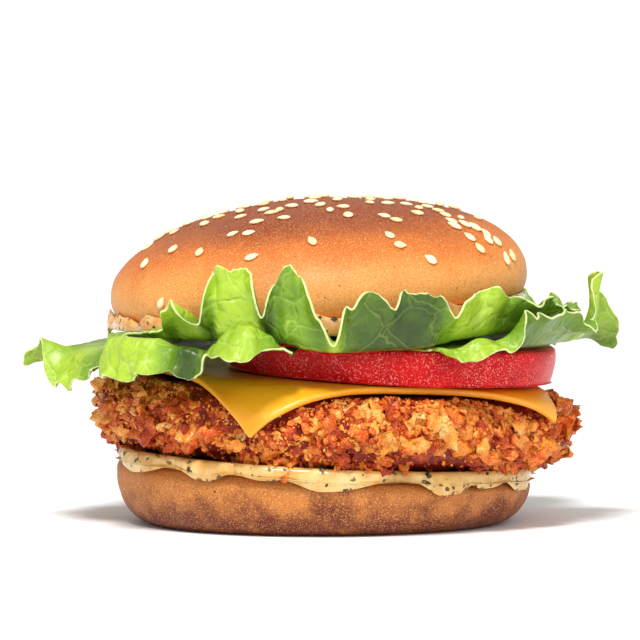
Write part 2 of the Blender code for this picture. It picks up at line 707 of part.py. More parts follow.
def make_crown(crown_frame):
    glaze = finish_material("crown_crust", (0.66, 0.30, 0.08), 0.4)
    crown = turned("bun_crown", crown_section, BUN_STEPS, glaze, crown_frame)
    seeds = []
    for place in seed_places(SEED_COUNT):
        seeds.append(make_seed(*place))
        seeds[-1].parent = crown_frame
    fuse(crown, seeds)
    return crown


def make_frame(name, place, slope):
    """An empty that carries the pieces lying on one slope."""
    frame = bpy.data.objects.new(name, None)
    bpy.context.scene.collection.objects.link(frame)
    frame.location = place
    frame.rotation_euler.y = slope
    return frame


def main():
    clear_scene()
    filling = make_frame("filling_frame", (0, 0, 0), FILLING_SLOPE)
    crown_frame = make_frame("crown_frame", (CROWN_SHIFT, 0, CROWN_CUT_HEIGHT), CROWN_SLOPE)
    make_heel()
    make_lower_sauce()
    make_patty(filling)
    make_cheese(filling)
    make_tomato(filling)
    for leaf in LEAVES:
        make_leaf(leaf)
    make_upper_sauce(crown_frame)
    make_crown(crown_frame)


main()
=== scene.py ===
"""A crispy chicken burger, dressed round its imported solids.

The sections follow the burger from the floor up, as it is put together: the studio, the heel of
the bun, the lower sauce, the fried patty, the cheese, the tomato, the lettuce, the upper sauce and
the crown with its sesame. Metres, +Z up, the burger's front faces -Y.
"""

import math
import random

import bpy
from mathutils import Euler, Matrix, Vector, noise


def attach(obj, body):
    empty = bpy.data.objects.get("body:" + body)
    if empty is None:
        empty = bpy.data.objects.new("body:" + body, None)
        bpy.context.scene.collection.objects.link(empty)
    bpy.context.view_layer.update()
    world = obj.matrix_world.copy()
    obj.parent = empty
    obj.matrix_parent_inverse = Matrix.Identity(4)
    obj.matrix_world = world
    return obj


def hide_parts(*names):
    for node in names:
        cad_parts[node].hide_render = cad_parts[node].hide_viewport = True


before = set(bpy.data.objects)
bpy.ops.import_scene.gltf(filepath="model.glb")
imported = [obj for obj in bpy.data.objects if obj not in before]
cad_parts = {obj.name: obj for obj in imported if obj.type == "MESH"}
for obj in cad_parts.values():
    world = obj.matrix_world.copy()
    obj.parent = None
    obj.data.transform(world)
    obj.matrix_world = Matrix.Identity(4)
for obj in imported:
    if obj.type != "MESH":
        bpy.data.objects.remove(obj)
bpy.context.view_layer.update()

# The studio is a broad white floor under an even pale sky, with one large soft light high in front
# and a weaker one from the right. The camera stands far off at table height, so that the burger is
# seen almost without perspective.
MM = 0.001
CAMERA_DISTANCE = 3.0
CAMERA_RISE = math.radians(4)
FRAME_WIDTH = 160 * MM
FRAME_PIXELS = 640
AIM = Vector((-0.5, 0, 50.5)) * MM
FLOOR_SIZE = 30.0
SKY_STRENGTH = 0.52
# Each light is its name, its strength, how wide it looks and how it is turned, in degrees.
LIGHTS = (
    ("key_light", 3.0, 14, (34, 0, -12)),
    ("front_light", 0.8, 50, (66, 0, 24)),
)


def colour(red, green, blue):
    """A colour as seen on a screen, 0 to 255, in the shader's linear numbers."""
    parts = [part / 255 for part in (red, green, blue)]
    return (*[p / 12.92 if p < 0.04045 else ((p + 0.055) / 1.055) ** 2.4 for p in parts], 1.0)


class Wire:
    """A socket in a finish. Arithmetic on it adds Math nodes, and node() adds any other node."""

    def __init__(self, socket):
        self.socket = socket

    def node(self, kind, settings, sockets, out=0):
        tree = self.socket.id_data
        made = tree.nodes.new(kind)
        for name, value in settings.items():
            setattr(made, name, value)
        for name, value in sockets.items():
            if isinstance(value, Wire):
                tree.links.new(value.socket, made.inputs[name])
            else:
                made.inputs[name].default_value = value
        return Wire(made.outputs[out])

    def maths(self, operation, first, second):
        return self.node("ShaderNodeMath", {"operation": operation}, {0: first, 1: second})

    def __add__(self, other):
        return self.maths("ADD", self, other)

    def __radd__(self, other):
        return self.maths("ADD", other, self)

    def __sub__(self, other):
        return self.maths("SUBTRACT", self, other)

    def __rsub__(self, other):
        return self.maths("SUBTRACT", other, self)

    def __mul__(self, other):
        return self.maths("MULTIPLY", self, other)

    def __rmul__(self, other):
        return self.maths("MULTIPLY", other, self)

    def step(self, low, high):
        """0 below low, 1 above high, and smooth between."""
        return self.node(
            "ShaderNodeMapRange", {"interpolation_type": "SMOOTHSTEP"},
            {"Value": self, "From Min": low, "From Max": high},
        )

    def clouds(self, size, detail=2.0):
        """Soft noise over a surface, with patches of a size in metres."""
        sockets = {"Vector": self, "Scale": 1 / size, "Detail": detail}
        return self.node("ShaderNodeTexNoise", {}, sockets)

    def cells(self, size, feature="F1"):
        """Cells of a size in metres: the distance to their middles or to their edges."""
        sockets = {"Vector": self, "Scale": 1 / size}
        return self.node("ShaderNodeTexVoronoi", {"feature": feature}, sockets, "Distance")

    def between(self, first, second):
        """The colour this far from a first colour to a second one."""
        settings = {"data_type": "RGBA"}
        return self.node("ShaderNodeMix", settings, {0: self, 6: first, 7: second}, out=2)

    def feed(self, shader, name):
        self.socket.id_data.links.new(self.socket, shader.inputs[name])

    def relief(self, shader, height):
        """Bumps the shader's surface by this wire, times a height in metres."""
        bump = self.node("ShaderNodeBump", {}, {"Height": self, "Distance": height})
        bump.feed(shader, "Normal")


def new_finish(name, constants):
    """A material, its shader with its constant values set, and a wire of Object coordinates."""
    material = bpy.data.materials.new(name)
    material.use_nodes = True
    shader = material.node_tree.nodes["Principled BSDF"]
    for socket, value in constants.items():
        shader.inputs[socket].default_value = value
    coordinates = material.node_tree.nodes.new("ShaderNodeTexCoord")
    return material, shader, Wire(coordinates.outputs["Object"])


bpy.ops.object.select_all(action="DESELECT")
bpy.ops.mesh.primitive_plane_add(size=FLOOR_SIZE)
floor = bpy.context.object
floor.name = "studio_floor"
floor_finish, floor_shader, floor_place = new_finish("studio_floor", {"Roughness": 0.7})
floor_tone = floor_place.clouds(400 * MM).between(colour(251, 251, 251), colour(253, 253, 253))
floor_tone.feed(floor_shader, "Base Color")
floor.data.materials.append(floor_finish)

sky = bpy.data.worlds.new("pale_sky")
sky.use_nodes = True
sky.node_tree.nodes["Background"].inputs["Color"].default_value = (1.0, 1.0, 1.0, 1.0)
sky.node_tree.nodes["Background"].inputs["Strength"].default_value = SKY_STRENGTH
bpy.context.scene.world = sky
for light_name, strength, spread, tilt in LIGHTS:
    bpy.ops.object.light_add(type="SUN")
    light = bpy.context.object
    light.name = light_name
    light.data.energy = strength
    light.data.angle = math.radians(spread)
    light.rotation_euler = [math.radians(turn) for turn in tilt]

back = Vector((0, -math.cos(CAMERA_RISE), math.sin(CAMERA_RISE)))
bpy.ops.object.camera_add(location=AIM + back * CAMERA_DISTANCE)
camera = bpy.context.object
camera.rotation_euler = (math.radians(90) - CAMERA_RISE, 0, 0)
camera.data.lens = camera.data.sensor_width * CAMERA_DISTANCE / FRAME_WIDTH
camera.data.clip_end = 3 * FLOOR_SIZE
bpy.context.scene.camera = camera
bpy.context.scene.view_settings.view_transform = "Standard"


def seen(piece, across, down):
    """The point and normal of a piece's front that the photograph shows at a pixel."""
    pixel = FRAME_WIDTH / FRAME_PIXELS
    right = Vector((1, 0, 0)) * (across - FRAME_PIXELS / 2) * pixel
    up = back.cross(Vector((1, 0, 0))) * (FRAME_PIXELS / 2 - down) * pixel
    start = AIM + back * CAMERA_DISTANCE
    hit, point, normal, face = piece.ray_cast(start, (AIM + right + up - start).normalized())
    return (point, normal) if hit else (None, None)


# The heel is the lower half of a soft wheat bun, baked on its flat foot and cut level with a
# slight slope down to the right. It is a low drum with round edges, and its crust is golden round
# the waist, red-brown near the foot and covered with fine pale grain.
BUN_RADIUS = 51.8 * MM
HEEL_HEIGHT = 14.2 * MM
FILLING_SLOPE = math.radians(3.0)
HEEL_FOOT = 0.81
HEEL_WAIST = 0.80
HEEL_TOP = 0.93
# Where along the heel's skin its flat top, its shoulder and its side end.
TOP_SHARE = 0.10
SHOULDER_SHARE = 0.25
SIDE_SHARE = 0.88


def soft_step(t):
    t = min(max(t, 0.0), 1.0)
    return t * t * (3 - 2 * t)


def rough(point, size, seed=0.0):
    """Soft noise from about -1 to 1, with lumps of the given size."""
    return 1.4 * noise.noise(Vector(point) / size + Vector((seed, 1.7 * seed, -seed)))


def wrapped(name, around, along, place):
    """A closed skin, made of a flat grid wrapped round Z. place(angle, share) says where a point
    of the grid goes, its share running from the upper pole to the lower one."""
    bpy.ops.object.select_all(action="DESELECT")
    bpy.ops.mesh.primitive_grid_add(x_subdivisions=around, y_subdivisions=along, size=1)
    piece = bpy.context.object
    piece.name = piece.data.name = name
    for vertex in piece.data.vertices:
        vertex.co = place(math.tau * (vertex.co.x + 0.5), vertex.co.y + 0.5)
    bpy.ops.object.mode_set(mode="EDIT")
    bpy.ops.mesh.select_all(action="SELECT")
    bpy.ops.mesh.remove_doubles(threshold=0.001 * MM)
    bpy.ops.mesh.normals_make_consistent(inside=False)
    bpy.ops.object.mode_set(mode="OBJECT")
    bpy.ops.object.shade_smooth()
    return piece


def bun_outline(angle):
    """The bun's radius, a little uneven, as a baked one is."""
    wave = 0.008 * math.sin(2 * angle + 0.6) + 0.006 * math.sin(3 * angle + 2.0)
    return BUN_RADIUS * (1 + wave)


def heel_point(angle, share):
    radius = bun_outline(angle) * 0.994
    if share < TOP_SHARE:
        out, up = HEEL_TOP * share / TOP_SHARE, 1.0
    elif share < SHOULDER_SHARE:
        turn = math.pi / 2 * (share - TOP_SHARE) / (SHOULDER_SHARE - TOP_SHARE)
        out = HEEL_TOP + (1 - HEEL_TOP) * math.sin(turn)
        up = HEEL_WAIST + (1 - HEEL_WAIST) * math.cos(turn)
    elif share < SIDE_SHARE:
        turn = math.pi / 2 * (SIDE_SHARE - share) / (SIDE_SHARE - SHOULDER_SHARE)
        out = HEEL_FOOT + (1 - HEEL_FOOT) * math.sin(turn)
        up = HEEL_WAIST * (1 - math.cos(turn))
    else:
        out, up = HEEL_FOOT * (1 - share) / (1 - SIDE_SHARE), 0.0
    point = Vector((out * radius * math.cos(angle), out * radius * math.sin(angle), up * HEEL_HEIGHT))
    side = soft_step((out - 0.80) / 0.1) * min(point.z / (3 * MM), 1.0)
    swell = 0.35 * rough(point, 15 * MM, 2.0) + 0.10 * rough(point, 3.5 * MM, 4.0)
    point += Vector((math.cos(angle), math.sin(angle), 0)) * swell * MM * side
    point.z *= 1 - math.tan(FILLING_SLOPE) * point.x / HEEL_HEIGHT
    return point


heel = wrapped("baked_heel", 380, 90, heel_point)
heel_finish, heel_shader, heel_place = new_finish("heel_crust", {
    "Subsurface Weight": 0.12, "Subsurface Radius": (1.0, 0.5, 0.25), "Subsurface Scale": 1.2 * MM,
    "Specular IOR Level": 0.35,
})
heel_up = heel_place.node("ShaderNodeSeparateXYZ", {}, {"Vector": heel_place}, out="Z")
heel_blotch = 1.7 * heel_place.clouds(6 * MM, 3) - 0.92
heel_bake = (heel_up * (1 / HEEL_HEIGHT) + heel_blotch).step(0.0, 0.85)
heel_tone = heel_bake.between(colour(104, 34, 10), colour(192, 118, 52))
heel_grain = heel_place.clouds(0.38 * MM, 3)
heel_tone = (0.75 * heel_grain.step(0.52, 0.70)).between(heel_tone, colour(228, 164, 92))
heel_tone = (0.55 * (1 - heel_grain.step(0.30, 0.45))).between(heel_tone, colour(104, 40, 14))
heel_pores = heel_place.cells(5.5 * MM)
heel_tone = (0.8 * (1 - heel_pores.step(0.03, 0.09))).between(heel_tone, colour(84, 30, 14))
heel_tone.feed(heel_shader, "Base Color")
(0.46 + 0.22 * heel_place.clouds(5 * MM)).feed(heel_shader, "Roughness")
(heel_grain + 0.6 * heel_place.clouds(1.6 * MM) + 0.5 * heel_pores.step(0.0, 0.1)).relief(
    heel_shader, 0.16 * MM)
heel.data.materials.append(heel_finish)
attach(heel, "root")
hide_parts("bun_heel")

# The lower sauce is a thick cream sauce with chopped herbs, spread on the heel. The weight above
# presses it out, and it hangs over the heel's edge in soft drips with a wet shine.
GAP = 0.3 * MM
SAUCE_DEPTH = 2.0 * MM
LEAST_BULGE = 0.6
DRAWN_BACK = 4.0 * MM
WELL = 0.9 * MM
# Each drip is its angle, its half width in degrees, how far it runs down and how far it bulges.
LOWER_DRIPS = (
    (210, 11, 2.2, 1.6), (236, 7, 2.0, 1.7), (254, 6, 0.8, 0.8), (272, 12, 2.5, 1.4),
    (307, 8, 2.9, 1.6), (322, 7, 1.4, 1.0), (340, 8, 2.8, 1.1), (15, 9, 2.0, 1.3), (37, 9, 3.2, 1.8),
    (62, 12, 1.6, 1.2), (90, 10, 3.0, 1.7), (118, 12, 1.9, 1.3), (139, 8, 3.4, 1.8), (160, 9, 1.8, 1.2),
)


def drip_at(drips, angle):
    """How far the sauce runs down and bulges out at an angle, and how near the next drip is."""
    run, bulge, near = 0.0, LEAST_BULGE, 0.0
    for centre, half_width, depth, out in drips:
        away = abs((math.degrees(angle) - centre + 180) % 360 - 180)
        share = soft_step(1.25 - away / half_width)
        run = max(run, depth * share)
        bulge = max(bulge, LEAST_BULGE + (out - LEAST_BULGE) * share)
        near = max(near, soft_step(2.1 - away / half_width))
    return run * MM, bulge * MM, near


def along_curve(corners, share):
    """A point of a smooth curve (Catmull-Rom) through corners, share 0 at the first, 1 at the last."""
    spans = len(corners) - 1
    k = min(int(share * spans), spans - 1)
    t = share * spans - k
    p = [Vector(corners[min(max(k + j, 0), spans)]) for j in (-1, 0, 1, 2)]
    return 0.5 * (
        2 * p[1] + (p[2] - p[0]) * t + (2 * p[0] - 5 * p[1] + 4 * p[2] - p[3]) * t**2
        + (3 * p[1] - p[0] - 3 * p[2] + p[3]) * t**3
    )


def lower_sauce_point(angle, share):
    run, bulge, near = drip_at(LOWER_DRIPS, angle)
    run *= 1 + 0.10 * math.sin(23 * angle)
    side = bun_outline(angle) + GAP - DRAWN_BACK * (1 - near)
    foot = HEEL_HEIGHT + GAP
    top = foot + SAUCE_DEPTH
    crest = top + WELL
    low = foot - run
    radius, height = along_curve((
        (0, top), (0.6 * side, top), (0.93 * side, top), (side - 0.6 * MM, crest),
        (side + 0.7 * bulge, crest - 0.7 * MM), (side + bulge, 0.6 * low + 0.4 * crest),
        (side + 0.85 * bulge, low + 0.25 * (crest - low)), (side + 0.45 * bulge, low),
        (side + 0.1 * MM, 0.85 * low + 0.15 * foot), (side, 0.5 * low + 0.5 * foot),
        (side - 0.6 * MM, foot), (0.5 * side, foot), (0, foot),
    ), share)
    point = Vector((radius * math.cos(angle), radius * math.sin(angle), height))
    lumps = 0.28 * rough(point, 4 * MM, 5.0) + 0.06 * rough(point, 1.5 * MM, 7.0)
    lumps *= soft_step((radius - side) / (0.6 * MM))
    point += Vector((math.cos(angle), math.sin(angle), 0)) * lumps * MM
    point.z -= math.tan(FILLING_SLOPE) * point.x
    return point


def sauce_finish(name, pale, warm):
    """A wet cream sauce: pale and warm patches, and fine specks of herb under its surface."""
    finish, shader, place = new_finish(name, {
        "Roughness": 0.24, "Subsurface Weight": 0.35, "Subsurface Radius": (1.0, 0.7, 0.35),
        "Subsurface Scale": 1.5 * MM, "Coat Weight": 0.45, "Coat Roughness": 0.12,
    })
    tone = place.clouds(5 * MM, 2).step(0.35, 0.65).between(pale, warm)
    specks = place.cells(1.5 * MM)
    shown = place.clouds(2.6 * MM, 1).step(0.50, 0.60)
    tone = (0.75 * (1 - specks.step(0.08, 0.17)) * shown).between(tone, colour(96, 78, 26))
    tone.feed(shader, "Base Color")
    (place.clouds(1.8 * MM, 2) + 0.8 * place.clouds(5 * MM)).relief(shader, 0.20 * MM)
    return finish


HERB_SMALLEST = 0.28 * MM
HERB_RANGE = 0.75 * MM
HERB_TOP = 0.05 * MM
HERB_FOOT = -0.12 * MM
HERB_CORNERS = 5


def herb_flecks(name, skin, count, share_low, share_high, seed):
    """Chopped herbs lying in a sauce's skin: flat scraps, joined in one mesh. Each is a small disc
    of five corners, pressed into the place where skin(angle, share) puts it."""
    rng = random.Random(seed)
    points, faces = [], []
    for k in range(count):
        angle = math.radians(rng.uniform(0, 360))
        share = rng.uniform(share_low, share_high)
        middle = skin(angle, share)
        across = (skin(angle + 0.01, share) - middle).normalized()
        down = (skin(angle, share + 0.01) - middle).normalized()
        outward = down.cross(across).normalized()
        turn = rng.uniform(0, math.pi)
        along = (across * math.cos(turn) + down * math.sin(turn)).normalized()
        aside = outward.cross(along)
        length = HERB_SMALLEST + HERB_RANGE * rng.random() ** 3
        width = length * rng.uniform(0.4, 0.8)
        first = len(points)
        for lift in (HERB_TOP, HERB_FOOT):
            for corner in range(HERB_CORNERS):
                round_turn = math.tau * corner / HERB_CORNERS
                reach = rng.uniform(0.75, 1.1)
                points.append(
                    middle + outward * lift + along * length * reach * math.cos(round_turn)
                    + aside * width * reach * math.sin(round_turn)
                )
        last = first + 2 * HERB_CORNERS - 1
        faces.append([first + corner for corner in range(HERB_CORNERS)])
        faces.append([last - corner for corner in range(HERB_CORNERS)])
        for corner in range(HERB_CORNERS):
            side = [first + (corner + 1) % HERB_CORNERS, first + corner]
            faces.append(side + [HERB_CORNERS + point for point in reversed(side)])
    mesh = bpy.data.meshes.new(name)
    mesh.from_pydata(points, [], faces)
    flecks = bpy.data.objects.new(name, mesh)
    bpy.context.scene.collection.objects.link(flecks)
    return flecks


lower_sauce = wrapped("heel_sauce", 420, 96, lower_sauce_point)
lower_sauce.data.materials.append(
    sauce_finish("herb_sauce_pale", colour(228, 190, 120), colour(212, 160, 78)))
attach(lower_sauce, "root")
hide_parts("lower_sauce")

herb_finish, herb_shader, herb_place = new_finish("chopped_herbs", {"Roughness": 0.4})
herb_tone = herb_place.clouds(2 * MM).step(0.4, 0.6).between(colour(38, 46, 20), colour(120, 92, 38))
herb_tone.feed(herb_shader, "Base Color")
lower_herbs = herb_flecks("heel_sauce_herbs", lower_sauce_point, 260, 0.24, 0.62, 3)
lower_herbs.data.materials.append(herb_finish)
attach(lower_herbs, "root")

# The patty is a flattened chicken fillet in a fried crust. The batter's skin is smooth and
# red-brown, darker in the hollows by painted shade and lighter on the crags by painted light, and it
# carries golden flakes, crumbs and grains that stand off it, baked on in layers. It lies on the heel's
# slope.
PATTY_SHIFT = 1.2 * MM
PATTY_HALF_WIDTH = 57.0 * MM
PATTY_HALF_DEPTH = 53.5 * MM
PATTY_THICKNESS = 17.0 * MM
EDGE_ROUND = 8.0 * MM
PATTY_TAPER = 2.6 * MM
TOP_RELIEF = 0.9 * MM
SIDE_RELIEF = 3.2 * MM
PATTY_FOOT = HEEL_HEIGHT + 2 * GAP + SAUCE_DEPTH + TOP_RELIEF
PATTY_TOP = PATTY_FOOT + PATTY_THICKNESS
# The shares of the skin that the flat top and the flat foot take.
FLAT_SKIN = 0.10
FLAKE_COUNT = 560
CRUMB_COUNT = 2400
GRAIN_COUNT = 9500

filling_lean = Matrix.Rotation(FILLING_SLOPE, 4, "Y")
patty_lean = filling_lean @ Matrix.Translation((PATTY_SHIFT, 0, 0))


def patty_outline(angle):
    """The fillet's radius in plan, before its crust."""
    across, deep = math.cos(angle) / PATTY_HALF_WIDTH, math.sin(angle) / PATTY_HALF_DEPTH
    wave = 0.012 * math.sin(3 * angle + 0.4) + 0.010 * math.sin(5 * angle + 1.9)
    return (1 + wave) / math.hypot(across, deep)


def crust_relief(point, outward):
    """Height of the crags over the fillet: lumps with sharp valleys, higher on its side."""
    lumps = 1 - abs(rough(point, 9 * MM, 3.1))
    crags = 1 - abs(rough(point, 4.6 * MM, 8.2))
    fine = 1 - abs(rough(point, 2.1 * MM, 5.7))
    height = min(max(1.5 * (0.50 * lumps + 0.36 * crags + 0.14 * fine) - 0.55, 0.0), 1.0)
    return height * (TOP_RELIEF + (SIDE_RELIEF - TOP_RELIEF) * abs(outward) ** 3)


def crust_point(angle, turn):
    """Where the crust lies round the fillet's edge, and how high it stands there, in its frame."""
    out, up = math.cos(turn), math.sin(turn)
    middle = PATTY_TOP - EDGE_ROUND if up > 0 else PATTY_FOOT + EDGE_ROUND
    reach = patty_outline(angle) - EDGE_ROUND + PATTY_TAPER * min(up, 0.0)
    base = Vector((reach + EDGE_ROUND * out, middle + EDGE_ROUND * up))
    place = Vector((base.x * math.cos(angle), base.x * math.sin(angle), base.y))
    relief = crust_relief(place, out)
    radius, height = base + Vector((out, up)) * relief
    return Vector((radius * math.cos(angle), radius * math.sin(angle), height)), relief


def patty_point(angle, share):
    if share < FLAT_SKIN:
        radius = patty_outline(angle) - EDGE_ROUND
        part = share / FLAT_SKIN
        flat = Vector((radius * math.cos(angle), radius * math.sin(angle), 0)) * part
        return patty_lean @ (flat + Vector((0, 0, PATTY_TOP + crust_relief(flat, 0) * part)))
    if share > 1 - FLAT_SKIN:
        radius = patty_outline(angle) - EDGE_ROUND - PATTY_TAPER
        part = (1 - share) / FLAT_SKIN
        flat = Vector((radius * math.cos(angle), radius * math.sin(angle), 0)) * part
        return patty_lean @ (flat + Vector((0, 0, PATTY_FOOT - crust_relief(flat, 0) * part)))
    turn = math.pi / 2 - math.pi * (share - FLAT_SKIN) / (1 - 2 * FLAT_SKIN)
    return patty_lean @ crust_point(angle, turn)[0]


def joined(name, shapes, places, finish):
    """One mesh of many copies. A place is the shape's number, its matrix and its tone, which is
    kept in the attribute tone."""
    points, faces, tones = [], [], []
    for number, matrix, tone in places:
        corners, sides = shapes[number]
        first = len(points)
        points += [matrix @ corner for corner in corners]
        faces += [[first + k for k in side] for side in sides]
        tones += [tone] * len(corners)
    mesh = bpy.data.meshes.new(name)
    mesh.from_pydata(points, [], faces)
    mesh.attributes.new("tone", "FLOAT", "POINT").data.foreach_set("value", tones)
    mesh.shade_smooth()
    mesh.materials.append(finish)
    piece = bpy.data.objects.new(name, mesh)
    bpy.context.scene.collection.objects.link(piece)
    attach(piece, "root")
    return piece


def crust_scrap(seed, rounds, thickness):
    """A scrap of crust one unit across: a ball pressed thin, torn at its rim, curled and lumpy."""
    bpy.ops.mesh.primitive_ico_sphere_add(subdivisions=rounds, radius=0.5)
    ball = bpy.context.object
    sides = [list(face.vertices) for face in ball.data.polygons]
    corners = []
    for vertex in ball.data.vertices:
        point = vertex.co.copy()
        rim = Vector((point.x, point.y, 0)).normalized() if point.xy.length > 0.01 else Vector()
        tear = 1 + 0.34 * noise.noise(rim * 1.3 + Vector((seed, 0, 0)))
        tear += 0.16 * noise.noise(rim * 4.1 + Vector((0, seed, 0)))
        point.x *= tear
        point.y *= tear * 0.78
        curl = 0.55 * noise.noise(Vector((point.x, point.y, seed)) * 1.6)
        lumps = 0.30 * noise.noise(Vector((point.x, point.y, seed + 4)) * 5.0)
        lumps += 0.14 * noise.noise(Vector((point.x, point.y, seed + 7)) * 11.0)
        point.z = point.z * thickness + curl + lumps * (1 if rounds > 2 else 0.5)
        corners.append(point)
    bpy.data.objects.remove(ball, do_unlink=True)
    return corners, sides


crust_finish, crust_shader, crust_place = new_finish("fried_crust", {
    "Coat Roughness": 0.2, "Specular IOR Level": 0.3,
})
crust_tone = crust_place.node("ShaderNodeAttribute", {"attribute_name": "tone"}, {}, out="Fac")
crust_patch = crust_place.clouds(4.0 * MM, 3)
crust_grain = crust_place.clouds(0.45 * MM, 3)
crust_gold = (crust_tone + 1.0 * crust_patch - 0.50 + 0.9 * crust_grain - 0.45)
crust_colour = crust_gold.step(0.04, 0.52).between(colour(118, 16, 3), colour(212, 78, 10))
crust_colour = crust_gold.step(0.42, 0.84).between(crust_colour, colour(250, 160, 54))
crust_colour = crust_gold.step(0.80, 1.20).between(crust_colour, colour(255, 216, 136))
crust_colour.feed(crust_shader, "Base Color")
(0.10 + 0.40 * crust_tone).feed(crust_shader, "Coat Weight")
(0.66 - 0.26 * (1 - crust_tone)).feed(crust_shader, "Roughness")
(crust_grain + 0.8 * crust_place.clouds(1.2 * MM, 2)).relief(crust_shader, 0.45 * MM)

patty = wrapped("fried_patty", 440, 120, patty_point)
patty_tones = patty.data.attributes.new("tone", "FLOAT", "POINT")
patty_unlean = patty_lean.inverted()
# Painted shade and light on the batter's skin: darker in the hollows and round the top and foot, lighter
# on the raised crags.
for vertex, tone in zip(patty.data.vertices, patty_tones.data):
    flat = patty_unlean @ vertex.co
    edge = Vector((flat.x, flat.y, 0)).length - patty_outline(math.atan2(flat.y, flat.x))
    tone.value = 0.05 + 0.40 * soft_step(edge / (3.0 * MM)) + 0.15 * soft_step((flat.z - PATTY_TOP) / MM)
patty.data.materials.append(crust_finish)
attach(patty, "root")
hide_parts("patty")

CHEESE_SIDES = (88.0 * MM, 92.0 * MM)
CHEESE_THICKNESS = 1.8 * MM
CHEESE_TURN = math.radians(24.8)
CHEESE_CENTRE = Vector((-2.0, -2.5, 0)) * MM
CHEESE_HEIGHT = PATTY_TOP + TOP_RELIEF + 2 * GAP
BEND_OUT = EDGE_ROUND + SIDE_RELIEF + 3 * GAP + CHEESE_THICKNESS / 2
BEND_DOWN = CHEESE_HEIGHT + CHEESE_THICKNESS / 2 - (PATTY_TOP - EDGE_ROUND)
CHEESE_STEEPEST = math.radians(80)
SCRAP_LOWEST = -78
SCRAP_HIGHEST = 74
SCRAP_TILT = 0.30
BARE_PATCH = 13 * MM
LARGEST_UNDER_CHEESE = 3.2 * MM


def draped(distance, angle):
    """Radius and height of the slice's middle once it has sunk over the patty's edge."""
    fall = patty_outline(angle) - EDGE_ROUND
    bend = (BEND_OUT + BEND_DOWN) / 2
    past = max(distance - fall, 0.0)
    bent = min(past / bend, CHEESE_STEEPEST)
    straight = max(past - bend * CHEESE_STEEPEST, 0.0)
    radius = min(distance, fall) + BEND_OUT * math.sin(bent) + straight * math.cos(CHEESE_STEEPEST)
    height = PATTY_TOP - EDGE_ROUND + BEND_DOWN * math.cos(bent)
    return radius, height - straight * math.sin(CHEESE_STEEPEST)


def cheese_edge(angle):
    """Height of the slice's edge where it crosses an angle round the patty."""
    heading = Vector((math.cos(angle), math.sin(angle), 0))
    reaches = []
    for k in range(4):
        side = Matrix.Rotation(CHEESE_TURN + k * math.pi / 2, 3, "Z") @ Vector((1, 0, 0))
        if heading.dot(side) > 0.01:
            reaches.append((CHEESE_SIDES[k % 2] / 2 + CHEESE_CENTRE.dot(side)) / heading.dot(side))
    return draped(min(reaches), angle)[1]


def scrap_places(count, low, high, shapes, tone_low, tone_high, seed):
    """Where scraps of a size range sit on the crust: all round it and up and down its edge, fewer
    in bare patches and near its foot, and flat under the cheese."""
    rng = random.Random(seed)
    places = []
    while len(places) < count:
        angle = rng.uniform(0, math.tau)
        turn = math.radians(rng.uniform(SCRAP_LOWEST, SCRAP_HIGHEST))
        middle, relief = crust_point(angle, turn)
        bare = rough(middle, BARE_PATCH, 21.0) + 0.15 * soft_step((-math.degrees(turn) - 10) / 45)
        if rng.random() < 0.9 * soft_step((bare - 0.15) / 0.4):
            continue
        size = (low + (high - low) * rng.random() ** 1.6) * MM
        below_cheese = middle.z + size / 2 > cheese_edge(angle) - 1.0 * MM
        if below_cheese and (turn > math.radians(35) or rng.random() < 0.6):
            continue
        if below_cheese:
            size = min(size, LARGEST_UNDER_CHEESE)
        tilt = Euler()
        if not below_cheese:
            tilt = Euler((rng.gauss(0, SCRAP_TILT), rng.gauss(0, SCRAP_TILT), 0))
        facing = Euler((math.radians(90) - turn, 0, angle + math.pi / 2)).to_matrix()
        facing = facing @ tilt.to_matrix() @ Matrix.Rotation(rng.uniform(0, math.tau), 3, "Z")
        outward = Vector((
            math.cos(turn) * math.cos(angle), math.cos(turn) * math.sin(angle), math.sin(turn)))
        lift = (0.04 if below_cheese else rng.uniform(-0.06, 0.12)) * size
        matrix = Matrix.Translation(middle + outward * lift) @ (facing * size).to_4x4()
        # Painted shade: scraps low on the patty's side, facing down, are made darker.
        tone = rng.uniform(tone_low, tone_high) - 0.18 * soft_step(-math.degrees(turn) / 60)
        places.append((rng.randrange(len(shapes)), patty_lean @ matrix, tone))
    return places


bpy.ops.object.select_all(action="DESELECT")
flake_shapes = [crust_scrap(1.37 * k + 0.5, 3, 0.24) for k in range(9)]
crumb_shapes = [crust_scrap(2.11 * k + 3.0, 2, 0.50) for k in range(7)]
grain_shapes = [crust_scrap(3.3 * k + 8.0, 1, 0.8) for k in range(5)]
flake_places = scrap_places(FLAKE_COUNT, 3.6, 9.0, flake_shapes, 0.40, 0.90, 11)
crumb_places = scrap_places(CRUMB_COUNT, 1.4, 3.2, crumb_shapes, 0.35, 0.95, 12)
grain_places = scrap_places(GRAIN_COUNT, 0.5, 1.2, grain_shapes, 0.30, 1.05, 13)
for scrap_name, shapes, places in (
    ("crust_flakes", flake_shapes, flake_places),
    ("crust_crumbs", crumb_shapes, crumb_places),
    ("crust_grains", grain_shapes, grain_places),
):
    joined(scrap_name, shapes, places, crust_finish)

